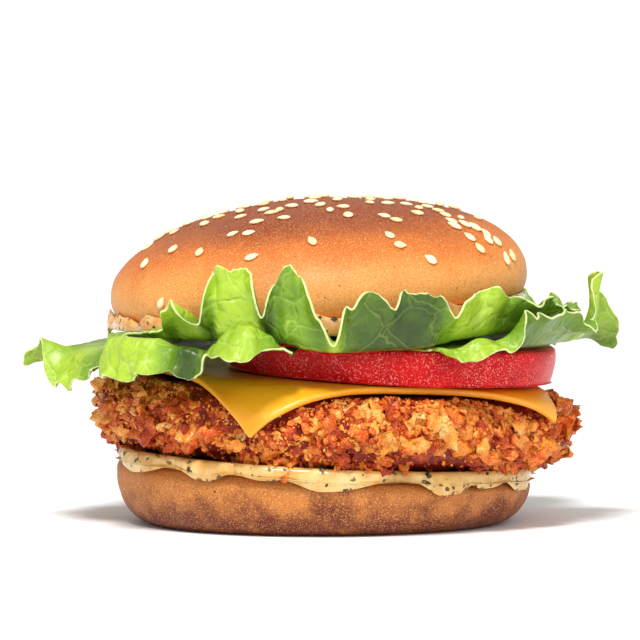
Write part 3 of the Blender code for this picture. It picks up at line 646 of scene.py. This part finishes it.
# The cheese is a square processed slice laid with a corner to the front. The patty's heat has
# softened it, so it lies close on the patty, bends over its edge and hangs in smooth points.
bpy.ops.object.select_all(action="DESELECT")
bpy.ops.mesh.primitive_grid_add(x_subdivisions=110, y_subdivisions=110, size=1)
bpy.ops.transform.resize(value=(*CHEESE_SIDES, 1))
bpy.ops.object.transform_apply(location=False, rotation=False, scale=True)
cheese = bpy.context.object
cheese.name = cheese.data.name = "cheese_slice"
cheese_turn = Matrix.Rotation(CHEESE_TURN, 3, "Z")
for vertex in cheese.data.vertices:
    flat = cheese_turn @ vertex.co + CHEESE_CENTRE
    angle = math.atan2(flat.y, flat.x)
    radius, height = draped(flat.length, angle)
    point = Vector((radius * math.cos(angle), radius * math.sin(angle), height))
    past = soft_step((flat.length - patty_outline(angle) + EDGE_ROUND) / (10 * MM))
    sag = 0.5 * rough(flat, 17 * MM, 6.0) + 0.2 * rough(flat, 7 * MM, 9.0)
    point += Vector((math.cos(angle), math.sin(angle), 0.4)) * sag * MM * past
    vertex.co = patty_lean @ point
thick = cheese.modifiers.new("thick", "SOLIDIFY")
thick.thickness = CHEESE_THICKNESS
thick.offset = 0
bpy.ops.object.modifier_apply(modifier="thick")
soft = cheese.modifiers.new("soft", "BEVEL")
soft.width = 0.7 * MM
soft.segments = 3
soft.limit_method = "ANGLE"
soft.angle_limit = math.radians(50)
bpy.ops.object.modifier_apply(modifier="soft")
bpy.ops.object.shade_smooth()
cheese_finish, cheese_shader, cheese_place = new_finish("cheese", {
    "Subsurface Weight": 0.45, "Subsurface Radius": (1.0, 0.55, 0.12), "Subsurface Scale": 2.5 * MM,
    "Coat Weight": 0.35, "Coat Roughness": 0.22,
})
cheese_warm = cheese_place.clouds(14 * MM, 2)
cheese_tone = cheese_warm.step(0.3, 0.7).between(colour(255, 176, 30), colour(254, 158, 18))
cheese_tone.feed(cheese_shader, "Base Color")
(0.28 + 0.16 * cheese_warm).feed(cheese_shader, "Roughness")
(cheese_place.clouds(8 * MM, 2) + 0.10 * cheese_place.clouds(1.2 * MM)).relief(cheese_shader, 0.7 * MM)
cheese.data.materials.append(cheese_finish)
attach(cheese, "root")
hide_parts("cheese")

# The tomato is one thick slice off the middle of the fruit. Its skin is red and wet, beaded with
# droplets too fine to count whose glints are painted into its colour as pale specks, and its cut faces
# lie flat between the cheese and the lettuce.
TOMATO_RADIUS = 41.0 * MM
TOMATO_THICKNESS = 9.0 * MM
TOMATO_CENTRE = Vector((14.5 * MM, -6.5 * MM, CHEESE_HEIGHT + CHEESE_THICKNESS + GAP))


def tomato_point(angle, share):
    lobes = 0.010 * math.cos(5 * angle + 0.8) + 0.006 * math.cos(3 * angle)
    radius = TOMATO_RADIUS * (1 + lobes)
    out, up = along_curve((
        (0, 1), (0.5, 1), (0.93, 1), (0.978, 0.985), (0.998, 0.90), (1.002, 0.62), (0.992, 0.34),
        (0.975, 0.08), (0.94, 0), (0.5, 0), (0, 0),
    ), share)
    reach = out * radius
    point = Vector((reach * math.cos(angle), reach * math.sin(angle), up * TOMATO_THICKNESS))
    if 0.9 < out:
        point *= 1 + 0.004 * rough(point, 12 * MM, 3.0)
    return filling_lean @ (point + TOMATO_CENTRE)


tomato = wrapped("tomato_slice", 260, 70, tomato_point)
tomato_finish, tomato_shader, tomato_place = new_finish("tomato", {
    "Specular IOR Level": 0.12, "Coat Weight": 0.03, "Coat Roughness": 0.15,
})
tomato_beads = tomato_place.clouds(0.42 * MM, 1)
tomato_flesh = tomato_place.clouds(9 * MM, 2)
tomato_tone = tomato_flesh.step(0.35, 0.65).between(colour(214, 6, 12), colour(184, 4, 14))
tomato_glint_patches = 0.40 + 0.60 * tomato_place.clouds(6 * MM).step(0.35, 0.7)
# Painted highlights: pale specks over the red, in patches, where the droplets would glint.
tomato_painted_glints = tomato_beads.step(0.54, 0.66) * tomato_glint_patches
tomato_tone = (0.75 * tomato_painted_glints).between(tomato_tone, colour(255, 150, 140))
tomato_tone.feed(tomato_shader, "Base Color")
(0.36 - 0.16 * tomato_beads).feed(tomato_shader, "Roughness")
tomato_beads.relief(tomato_shader, 0.14 * MM)
tomato.data.materials.append(tomato_finish)
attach(tomato, "root")
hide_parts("tomato")

# The lettuce is four crisp frilled leaves. The left one lies beside the tomato, the right one on
# it, and the back and the front one over those under the crown. Each is flat inside, and its frill
# stands up, droops and curls, with a net of pale veins and a thin pale rim that is a painted
# highlight. Its green is painted lighter and darker fold by fold, as painted light and shade.
LEAF_THICKNESS = 0.55 * MM
FLAT_SHARE = 0.3
FRILL_STEPS = 10
# The rim's even and uneven ruffles in degrees, how far its folds lean, and its usual radius in
# millimetres.
RUFFLE = 13
UNEVEN_RUFFLE = 12
LEAN = 2.4 * MM
RIM_RADIUS = 60
# How far the net of veins strays from straight lines.
LEAF_WARP = 0.004
# Each leaf has its name and node, its height and slope, the radius where it starts (none: beside
# the tomato), its steps round, and its folds. A fold is its angle round the burger in degrees, the
# radius and height in millimetres where it leaves the flat leaf, its length, how steeply it stands,
# how far its edge curls over (all downwards where less than 0), and how bright its green is, which
# is painted light and shade: low on folds turned away from the light, high on lit ones.
LEAVES = (
    ("lettuce_leaf_left", "lettuce_left", 46.8, 0.03, None, 320, (
        (160, 56.5, 46.0, 8, -25, 0, 0.5), (168, 56.5, 46.0, 12, -30, 0, 0.6),
        (176, 56.5, 46.0, 12, -14, 10, 0.6), (182, 56.5, 46.0, 18, -16, -6, 0.9),
        (186, 56.5, 46.0, 14, -6, 20, 0.7), (190, 56.5, 46.0, 16, -24, -26, 0.9),
        (197, 56.5, 46.0, 14, -28, -36, 0.9), (207, 56.5, 46.0, 8, -45, 0, 0.2),
        (212, 56.5, 47.6, 12, 30, -90, 0.5), (217, 56.5, 48.2, 19, 42, -122, 0.9),
        (224, 57.0, 48.4, 20, 45, -125, 1.0), (231, 57.5, 48.4, 17, 45, -125, 0.9),
        (235, 57.5, 47.8, 10, 12, -80, 0.4), (239, 57.5, 47.4, 14, 32, -120, 0.1),
        (242.5, 57.5, 47.0, 11, 20, -100, 0.2), (246, 58.0, 47.8, 10, 50, -80, 0.7),
        (250, 58.2, 49.0, 16, 84, -150, 0.8), (254.5, 58.2, 49.0, 20, 86, -156, 0.9),
        (258, 58.0, 48.6, 11, 76, -110, 0.6), (260.5, 57.5, 47.4, 6, 40, -40, 0.4),
        (263, 57.0, 46.0, 5, 10, 0, 0.3),
    )),
    ("lettuce_leaf_right", "lettuce_right", 47.85, -0.03, 24, 300, (
        (266, 44.0, 47.8, 2, 0, 0, 0.4), (292, 46.0, 47.8, 2, 0, 0, 0.4),
        (297, 53.0, 47.4, 3, 0, -20, 0.7), (302, 58.2, 47.2, 7, 32, -90, 0.8),
        (308, 58.5, 47.6, 11, 75, -130, 0.9), (313, 58.5, 47.6, 9, 72, -110, 0.7),
        (319, 58.2, 47.6, 13, 66, -16, 0.3), (327, 58.2, 47.6, 14, 62, -16, 0.3),
        (335, 58.2, 47.6, 14, 54, -10, 0.4), (342, 58.2, 47.6, 14, 44, -30, 0.5),
        (346, 58.2, 47.6, 12, 34, 0, 0.5), (350, 58.2, 47.6, 23, 30, 58, 0.9),
        (354, 58.2, 47.6, 23, 30, 60, 0.8), (358, 58.2, 47.6, 17, 20, 20, 0.7),
        (363, 58.2, 47.6, 16, 4, -20, 0.5), (369, 58.2, 47.6, 9, 20, 0, 0.5),
    )),
    ("lettuce_leaf_front", "lettuce_front", 49.25, 0.01, 34, 460, (
        (207, 54.8, 49.2, 4, 10, 0, 0.4), (210, 54.8, 49.2, 6.5, 24, -60, 0.6),
        (214, 54.8, 49.2, 4, 24, -20, 0.6), (218, 54.8, 49.2, 4, 30, -20, 0.7),
        (222, 54.8, 49.2, 5, 60, -50, 0.4), (226, 54.8, 49.2, 8, 76, -80, 0.8),
        (230, 54.9, 49.2, 6, 70, -70, 0.5), (234, 55.0, 49.2, 15, 88, -60, 0.9),
        (238.5, 55.0, 49.2, 18, 88, -66, 0.9), (242, 54.9, 49.2, 10, 80, -60, 0.2),
        (245, 54.8, 49.2, 20, 87, 0, 1.0), (250, 54.8, 49.2, 21, 88, 0, 1.0),
        (254.5, 54.8, 49.2, 20, 88, 0, 0.9), (257, 54.8, 49.2, 10, 74, -30, 0.1),
        (259.5, 54.9, 49.0, 17, 86, 0, 0.4), (262, 55.0, 48.6, 24, 88, -6, 0.6),
        (266, 55.6, 47.4, 22, 86, -16, 0.6),
        (270, 55.8, 46.8, 16, 82, -40, 0.5), (273, 56.0, 46.6, 10, 60, -70, 0.9),
        (276, 56.0, 46.6, 14, 82, -20, 0.3), (279, 56.0, 46.6, 17, 85, -14, 0.25),
        (285, 55.5, 46.8, 14, 84, -20, 0.15), (288.5, 55.5, 46.8, 17, 86, -10, 0.1),
        (293, 55.5, 46.8, 17, 85, -12, 0.1), (297, 55.5, 47.0, 16, 84, -20, 0.15),
        (301, 55.2, 47.8, 12, 74, -40, 0.5), (306, 55.0, 48.6, 14, 80, -14, 1.0),
        (313, 55.0, 49.0, 14, 78, -10, 1.0), (320, 54.8, 49.2, 12, 80, -20, 0.6),
        (328, 54.8, 49.2, 12, 76, -40, 0.4), (336, 54.8, 49.2, 11, 74, -30, 0.4),
        (345, 54.8, 49.2, 9, 60, -30, 0.4), (353, 54.8, 49.2, 11, 70, -60, 0.5),
        (362, 54.8, 49.2, 9, 60, -30, 0.5), (371, 54.8, 49.2, 5, 30, 0, 0.5),
    )),
    ("lettuce_leaf_back", "lettuce_back", 48.6, 0.0, 34, 400, (
        (16, 55.4, 47.8, 6, 30, 0, 0.5), (22, 55.4, 47.2, 12, 72, -20, 0.6),
        (29, 55.4, 46.2, 12, -14, -20, 0.8), (38, 55.4, 44.8, 15, 64, -20, 0.4),
        (49, 55.4, 43.4, 12, 5, -30, 0.8), (59, 55.4, 43.1, 15, 76, -20, 0.4),
        (70, 55.4, 43.1, 13, -24, -20, 0.9), (81, 55.4, 43.1, 16, 70, -30, 0.5),
        (92, 55.4, 43.1, 12, 0, -30, 0.8), (103, 55.4, 43.1, 15, 74, -20, 0.4),
        (114, 55.4, 43.1, 13, -22, -20, 0.9), (125, 55.4, 43.1, 15, 62, -40, 0.6),
        (136, 55.4, 43.1, 12, -6, -20, 0.7), (147, 55.4, 43.1, 10, 0, -20, 0.5),
        (157, 55.4, 43.1, 9, -20, 0, 0.5),
    )),
)


def tomato_reach(angle):
    """How far the tomato reaches from the burger's middle at an angle."""
    centre = TOMATO_CENTRE.xy
    along = centre.dot(Vector((math.cos(angle), math.sin(angle))))
    return along + math.sqrt(along**2 + TOMATO_RADIUS**2 - centre.length**2)


def fold_at(folds, degrees):
    """A frill's six numbers between two of its folds."""
    for first, second in zip(folds, folds[1:]):
        if degrees <= second[0]:
            share = soft_step((degrees - first[0]) / (second[0] - first[0]))
            return [a + (b - a) * share for a, b in zip(first[1:], second[1:])]
    return folds[-1][1:]


def leaf_point(height, slope, inner, folds, degrees, share):
    """A point of a leaf's middle surface, share running from its inner end to its frilled rim."""
    angle = math.radians(degrees)
    frill, foot, length, steep, curl, tone = fold_at(folds, degrees)
    start = inner * MM if inner else tomato_reach(angle) + 1.5 * MM
    if share < FLAT_SHARE:
        along = share / FLAT_SHARE
        radius = start + (frill * MM - start) * along
        rise = (height + (foot - height) * along**3) * MM
        crumple = 0.0
    else:
        out = (share - FLAT_SHARE) / (1 - FLAT_SHARE)
        rim = RIM_RADIUS * angle
        ruffle = RUFFLE * math.sin(40 * angle + 2 * math.sin(9 * angle))
        ruffle += UNEVEN_RUFFLE * out * rough((rim, 1.5 * height, 0), 2.6)
        torn = 0.08 * rough((rim, height, 3), 3.4) + 0.03 * rough((rim, height, 8), 1.1)
        length *= 1 + out * torn
        radius, rise = frill * MM, foot * MM
        for k in range(FRILL_STEPS):
            along = out * (k + 0.5) / FRILL_STEPS
            bend = curl * soft_step((along - 0.2) / 0.5) + ruffle * along**2
            tilt = math.radians(steep * soft_step(along * 2.8) + bend)
            radius += out / FRILL_STEPS * length * MM * math.cos(tilt)
            rise += out / FRILL_STEPS * length * MM * math.sin(tilt)
        angle += LEAN * rough((rim, height, 5), 9.0) * out**2 / radius
        crumple = soft_step(out * 2)
    x, y = radius * math.cos(angle), radius * math.sin(angle)
    point = Vector((x, y, rise + slope * x))
    blister = 0.60 * rough(point, 5.0 * MM, height) + 0.20 * rough(point, 2.2 * MM, height)
    return point + Vector((math.cos(angle), math.sin(angle), 0.8)) * blister * MM * crumple


leaf_finish, leaf_shader, leaf_place = new_finish("lettuce", {
    "Subsurface Weight": 0.30, "Subsurface Radius": (0.8, 1.0, 0.12), "Subsurface Scale": 1.2 * MM,
    "Coat Weight": 0.16, "Coat Roughness": 0.20, "Specular IOR Level": 0.35,
})
leaf_map = leaf_place.node("ShaderNodeUVMap", {"uv_map": "UVMap"}, {})
leaf_share = leaf_place.node("ShaderNodeSeparateXYZ", {}, {"Vector": leaf_map}, out="Y")
# Each fold's brightness from the table: painted light and shade on the leaf.
leaf_fold_light = leaf_place.node("ShaderNodeAttribute", {"attribute_name": "tone"}, {}, out="Fac")
leaf_patch = leaf_place.clouds(7 * MM, 3)
leaf_bend = leaf_place.node(
    "ShaderNodeTexNoise", {}, {"Vector": leaf_place, "Scale": 1 / (5 * MM)}, out="Color")
leaf_warped = leaf_place.node(
    "ShaderNodeMix", {"data_type": "VECTOR", "blend_type": "MIX"},
    {0: LEAF_WARP, 4: leaf_place, 5: leaf_bend}, out=1)
# Painted light and shade: each fold's brightness and random patches, with painted shade darkening the
# flat inner part under the crown.
leaf_light = leaf_fold_light + 0.5 * leaf_patch - 0.25 + 0.18 * leaf_share - 0.09
leaf_tone = leaf_light.step(0.0, 0.6).between(colour(44, 66, 16), colour(104, 142, 26))
leaf_tone = leaf_light.step(0.5, 1.1).between(leaf_tone, colour(166, 196, 50))
leaf_net = leaf_warped.cells(3.4 * MM, "DISTANCE_TO_EDGE")
leaf_veins = leaf_warped.cells(10 * MM, "DISTANCE_TO_EDGE")
# The pale veins are the leaf's own, but they show more strongly on the folds painted as lit.
leaf_net_shown = 0.14 * leaf_fold_light * (1 - leaf_net.step(0.01, 0.06))
leaf_tone = leaf_net_shown.between(leaf_tone, colour(200, 222, 110))
leaf_veins_shown = (0.08 + 0.26 * leaf_fold_light) * (1 - leaf_veins.step(0.008, 0.028))
leaf_tone = leaf_veins_shown.between(leaf_tone, colour(196, 216, 112))
# A painted highlight: a thin pale line along each leaf's rim.
leaf_tone = (0.75 * leaf_share.step(0.991, 0.999)).between(leaf_tone, colour(226, 238, 170))
leaf_tone.feed(leaf_shader, "Base Color")
(0.24 + 0.34 * leaf_patch).feed(leaf_shader, "Roughness")
leaf_pleats = 0.5 * leaf_net.step(0.0, 0.25) + 0.8 * leaf_veins.step(0.0, 0.10)
(leaf_pleats + 1.2 * leaf_place.clouds(2.4 * MM, 2)).relief(leaf_shader, 0.22 * MM)

for leaf_name, node, height, slope, inner, steps, folds in LEAVES:
    bpy.ops.object.select_all(action="DESELECT")
    bpy.ops.mesh.primitive_grid_add(x_subdivisions=steps, y_subdivisions=48, size=1)
    leaf = bpy.context.object
    leaf.name = leaf.data.name = leaf_name
    leaf_tones = leaf.data.attributes.new("tone", "FLOAT", "POINT")
    for vertex, tone in zip(leaf.data.vertices, leaf_tones.data):
        degrees = folds[0][0] + (folds[-1][0] - folds[0][0]) * (vertex.co.x + 0.5)
        share = vertex.co.y + 0.5
        vertex.co = leaf_point(height, slope, inner, folds, degrees, share)
        tone.value = fold_at(folds, degrees)[5]
    thick = leaf.modifiers.new("thick", "SOLIDIFY")
    thick.thickness = LEAF_THICKNESS
    thick.offset = 0
    bpy.ops.object.modifier_apply(modifier="thick")
    bpy.ops.object.shade_smooth()
    leaf.data.materials.append(leaf_finish)
    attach(leaf, "root")
    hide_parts(node)

# The upper sauce is the same cream sauce, warmer and thicker, in a wedge under the crown: thin at
# the left and thick at the right. It wells out over the crown's lower edge, runs down on the leaves
# and hangs in one fat drop at the left.
CROWN_CUT_HEIGHT = 54.0 * MM
CROWN_SLOPE = math.radians(-4.2)
CROWN_SHIFT = -0.6 * MM
CROWN_HEIGHT = 26.6 * MM
CROWN_WAIST = 5.4 * MM
UPPER_DRIPS = (
    (183, 12, 4.6, 1.5), (202, 11, 4.4, 1.3), (220, 10, 4.6, 1.6), (245, 8, 3.0, 1.0),
    (264, 11, 3.6, 1.6), (302, 10, 4.4, 1.9), (323, 7, 1.6, 0.8), (30, 9, 2.0, 0.9),
    (50, 12, 1.8, 0.9), (88, 14, 3.4, 1.3), (125, 12, 2.0, 0.9), (152, 11, 3.0, 1.2),
)
LEFT_DROP = ((184, 7, 2.6, 2.2),)
LEAST_RISE = 0.9 * MM
UPPER_RUN = 0.075 * MM
THIN_END = 33 * MM

crown_lean = Matrix.Translation((CROWN_SHIFT, 0, CROWN_CUT_HEIGHT)) @ Matrix.Rotation(CROWN_SLOPE, 4, "Y")


def crown_corner(angle, turn):
    """A point of the crown's round lower edge: turn 0 is its waist and 90 its flat underside."""
    along = math.radians(turn)
    return bun_outline(angle) * (0.95 + 0.05 * math.cos(along)), CROWN_WAIST * (1 - math.sin(along))


def wedge_foot(x):
    """Height of the sauce's foot under the crown's cut, level once the wedge has opened."""
    return -1.2 * MM - math.tan(-CROWN_SLOPE) * max(x + THIN_END, 0)


def upper_sauce_point(angle, share):
    run, bulge, near = drip_at(UPPER_DRIPS, angle)
    run = max(run, LEAST_RISE) * (1 + 0.12 * math.sin(19 * angle))
    drop = drip_at(LEFT_DROP, angle)[0]
    bulge *= 0.7
    corners = [(0, -GAP), (0.6 * BUN_RADIUS, -GAP)]
    highest = 90 - run / UPPER_RUN
    for turn in (90, 60 + highest / 3, 30 + 2 * highest / 3, highest):
        radius, height = crown_corner(angle, turn)
        corners.append((radius + 2 * GAP * math.cos(math.radians(turn)), height - GAP))
    side = bun_outline(angle) * (0.97 + 0.03 * near) + 2 * GAP * near
    top = corners[-1][1]
    foot = wedge_foot(side * math.cos(angle))
    radius, height = along_curve(corners + [
        (side, top + 0.4 * MM), (side + 0.8 * bulge, 0.5 * top), (side + bulge, 0.4 * foot - 0.6 * drop),
        (side + 0.6 * bulge, foot - drop), (side - 2.5 * MM, foot),
        (0.5 * side, wedge_foot(side * math.cos(angle) / 2)), (0, wedge_foot(0)),
    ], share)
    point = Vector((radius * math.cos(angle), radius * math.sin(angle), height))
    lumps = 0.25 * rough(point, 4 * MM, 15.0) + 0.06 * rough(point, 1.5 * MM, 17.0)
    lumps *= soft_step((radius - side) / (0.6 * MM))
    point += Vector((math.cos(angle), math.sin(angle), 0)) * lumps * MM
    return crown_lean @ point


upper_sauce = wrapped("crown_sauce", 420, 100, upper_sauce_point)
upper_sauce.data.materials.append(
    sauce_finish("herb_sauce_warm", colour(232, 182, 112), colour(214, 146, 70)))
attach(upper_sauce, "root")
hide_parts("upper_sauce")
upper_herbs = herb_flecks("crown_sauce_herbs", upper_sauce_point, 240, 0.44, 0.72, 8)
upper_herbs.data.materials.append(herb_finish)
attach(upper_herbs, "root")

# The crown is the domed upper half of the bun. Egg wash has baked it deep red-brown on top, golden
# round the shoulder and pale at the lower edge, with fine pores. Sesame seeds, pressed on before
# baking, lie thick on the top and few on the side.
DOME_POWER = 2.1
# Where along the crown's skin its dome and its round lower edge end.
DOME_SHARE = 0.72
EDGE_SHARE = 0.9
SEED_LENGTH = 3.6 * MM
SEED_COUNT = 90
SEED_FIELD = 44 * MM
SEED_SPACING = 3.4 * MM
SEEN_EDGE = -16 * MM
ABOVE_CROWN = 60 * MM
# The seeds that the photograph shows, as pixels across and down it and the way that each points.
FRONT_SEEDS = (
    (146, 264, 65), (174, 250, 60), (200, 253, 75), (175, 233, 40), (219, 218, 10), (241, 218, 20),
    (233, 235, 20), (249, 234, 0), (257, 223, 0), (264, 211, 30), (272, 214, 0), (280, 211, 80),
    (284, 219, 170), (252, 258, 15), (312, 242, 115), (311, 203, 10), (330, 211, 90), (343, 208, 165),
    (348, 216, 100), (162, 303, 60), (384, 217, 160), (396, 221, 170), (389, 236, 130),
    (400, 246, 10), (417, 214, 160), (430, 260, 155), (454, 227, 165), (451, 222, 160),
    (469, 238, 150), (479, 249, 140), (487, 240, 130), (505, 259, 120), (511, 256, 125),
    (496, 242, 130), (485, 234, 140), (474, 228, 150), (464, 225, 155), (445, 216, 160),
    (438, 212, 165), (427, 208, 160), (152, 241, 50), (171, 229, 35), (181, 223, 30), (193, 220, 25),
)


def crown_point(angle, share):
    if share < DOME_SHARE:
        turn = math.pi / 2 * (share / DOME_SHARE) ** 0.85
        rise = CROWN_HEIGHT - CROWN_WAIST
        radius = bun_outline(angle) * math.sin(turn) ** (2 / DOME_POWER)
        height = CROWN_WAIST + rise * max(math.cos(turn), 0.0) ** (2 / DOME_POWER)
    elif share < EDGE_SHARE:
        radius, height = crown_corner(angle, 90 * (share - DOME_SHARE) / (EDGE_SHARE - DOME_SHARE))
    else:
        radius, height = crown_corner(angle, 90)
        radius *= (1 - share) / (1 - EDGE_SHARE)
    point = Vector((radius * math.cos(angle), radius * math.sin(angle), height))
    if share < 0.88:
        outward = Vector((point.x, point.y, 1.6 * (point.z - CROWN_WAIST))).normalized()
        creases = rough((26 * angle, 5 * share, 0), 1.0, 2.0) * soft_step((share - 0.50) / 0.2)
        swell = 0.45 * rough(point, 17 * MM, 12.0) + 0.07 * rough(point, 3 * MM, 14.0)
        swell += 0.16 * creases * (0.5 + rough(point, 20 * MM, 16.0))
        point += outward * swell * MM * min(1.0, 12 * (0.88 - share))
    return crown_lean @ point


crown = wrapped("baked_crown", 400, 110, crown_point)
crown_finish, crown_shader, crown_place = new_finish("crown_crust", {
    "Subsurface Weight": 0.08, "Subsurface Radius": (1.0, 0.5, 0.25), "Subsurface Scale": 1.0 * MM,
    "Coat Weight": 0.06, "Coat Roughness": 0.35, "Specular IOR Level": 0.3,
})
crown_map = crown_place.node("ShaderNodeUVMap", {"uv_map": "UVMap"}, {})
crown_share = crown_place.node("ShaderNodeSeparateXYZ", {}, {"Vector": crown_map}, out="Y")
crown_bake = crown_share + 0.34 * crown_place.clouds(18 * MM, 3) - 0.17
crown_tone = crown_bake.step(0.22, 0.52).between(colour(138, 54, 12), colour(206, 110, 38))
crown_tone = crown_bake.step(0.46, 0.72).between(crown_tone, colour(232, 158, 80))
crown_grain = crown_place.clouds(0.36 * MM, 3)
crown_tone = (0.50 * crown_grain.step(0.52, 0.70)).between(crown_tone, colour(250, 200, 130))
crown_tone = (0.40 * (1 - crown_grain.step(0.32, 0.47))).between(crown_tone, colour(150, 62, 18))
crown_pores = crown_place.cells(4.2 * MM)
crown_tone = (0.7 * (1 - crown_pores.step(0.03, 0.08))).between(crown_tone, colour(100, 40, 12))
crown_tone.feed(crown_shader, "Base Color")
(0.42 + 0.2 * crown_place.clouds(6 * MM)).feed(crown_shader, "Roughness")
(crown_grain + 0.8 * crown_place.clouds(1.8 * MM) + 0.5 * crown_pores.step(0.0, 0.1)).relief(
    crown_shader, 0.12 * MM)
crown.data.materials.append(crown_finish)
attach(crown, "root")
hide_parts("bun_crown")


def sesame_shape(plump):
    """A sesame seed one unit long: a flat ball with one end drawn to a point."""
    bpy.ops.mesh.primitive_uv_sphere_add(segments=12, ring_count=8, radius=0.5)
    seed = bpy.context.object
    seed.rotation_euler.y = math.radians(90)
    bpy.ops.object.transform_apply(location=False, rotation=True, scale=False)
    sides = [list(face.vertices) for face in seed.data.polygons]
    corners = []
    for vertex in seed.data.vertices:
        x, y, z = vertex.co
        narrow = plump * (1 - 0.55 * soft_step((x + 0.05) / 0.55))
        corners.append(Vector((x, y * narrow, z * 0.36 * (0.6 + 0.4 * narrow))))
    bpy.data.objects.remove(seed, do_unlink=True)
    return corners, sides


def seed_matrix(point, normal, degrees, length):
    """Lays a seed on the crust, pointing some degrees round from level as seen from the front."""
    level = Vector((1, 0, 0)) - normal * normal.x
    if level.length < 0.3:
        level = Vector((0, 1, 0)) - normal * normal.y
    level.normalize()
    along = Matrix.Rotation(math.radians(degrees), 3, normal) @ level
    facing = Matrix((along, normal.cross(along), normal)).transposed()
    return Matrix.Translation(point + normal * 0.12 * length) @ (facing * length).to_4x4()


sesame_finish, sesame_shader, sesame_place = new_finish("sesame", {
    "Roughness": 0.38, "Subsurface Weight": 0.35, "Subsurface Radius": (1.0, 0.7, 0.4),
    "Subsurface Scale": 0.8 * MM, "Coat Weight": 0.15,
})
sesame_own = sesame_place.node("ShaderNodeAttribute", {"attribute_name": "tone"}, {}, out="Fac")
sesame_tone = sesame_own.between(colour(255, 236, 196), colour(248, 214, 156))
sesame_light = 0.5 * sesame_place.clouds(0.9 * MM).step(0.5, 0.7)
sesame_tone = sesame_light.between(sesame_tone, colour(255, 240, 208))
sesame_tone.feed(sesame_shader, "Base Color")
sesame_place.clouds(0.5 * MM).relief(sesame_shader, 0.05 * MM)

bpy.context.view_layer.update()
seed_rng = random.Random(5)
seed_shapes = [sesame_shape(0.58), sesame_shape(0.66), sesame_shape(0.74)]
seed_points, seed_places = [], []
for across, down, degrees in FRONT_SEEDS:
    point, normal = seen(crown, across, down)
    if point:
        seed_points.append(point)
        length = SEED_LENGTH * seed_rng.uniform(0.9, 1.08)
        seed_places.append((seed_rng.randrange(3), seed_matrix(point, normal, degrees, length),
                            seed_rng.random()))
for k in range(SEED_COUNT):
    share = math.sqrt((k + 0.5) / SEED_COUNT)
    angle = k * math.pi * (3 - math.sqrt(5)) + seed_rng.uniform(-0.3, 0.3)
    out = SEED_FIELD * share
    start = crown_lean @ Vector((out * math.cos(angle), out * math.sin(angle), ABOVE_CROWN))
    hit, point, normal, face = crown.ray_cast(start, Vector((0, 0, -1)))
    crowd = any((point - other).length < SEED_SPACING for other in seed_points)
    if hit and not crowd and point.y > SEEN_EDGE:
        seed_points.append(point)
        length = SEED_LENGTH * seed_rng.uniform(0.9, 1.08)
        seed_places.append((seed_rng.randrange(3),
                            seed_matrix(point, normal, seed_rng.uniform(0, 180), length),
                            seed_rng.random()))
joined("sesame_seeds", seed_shapes, seed_places, sesame_finish)
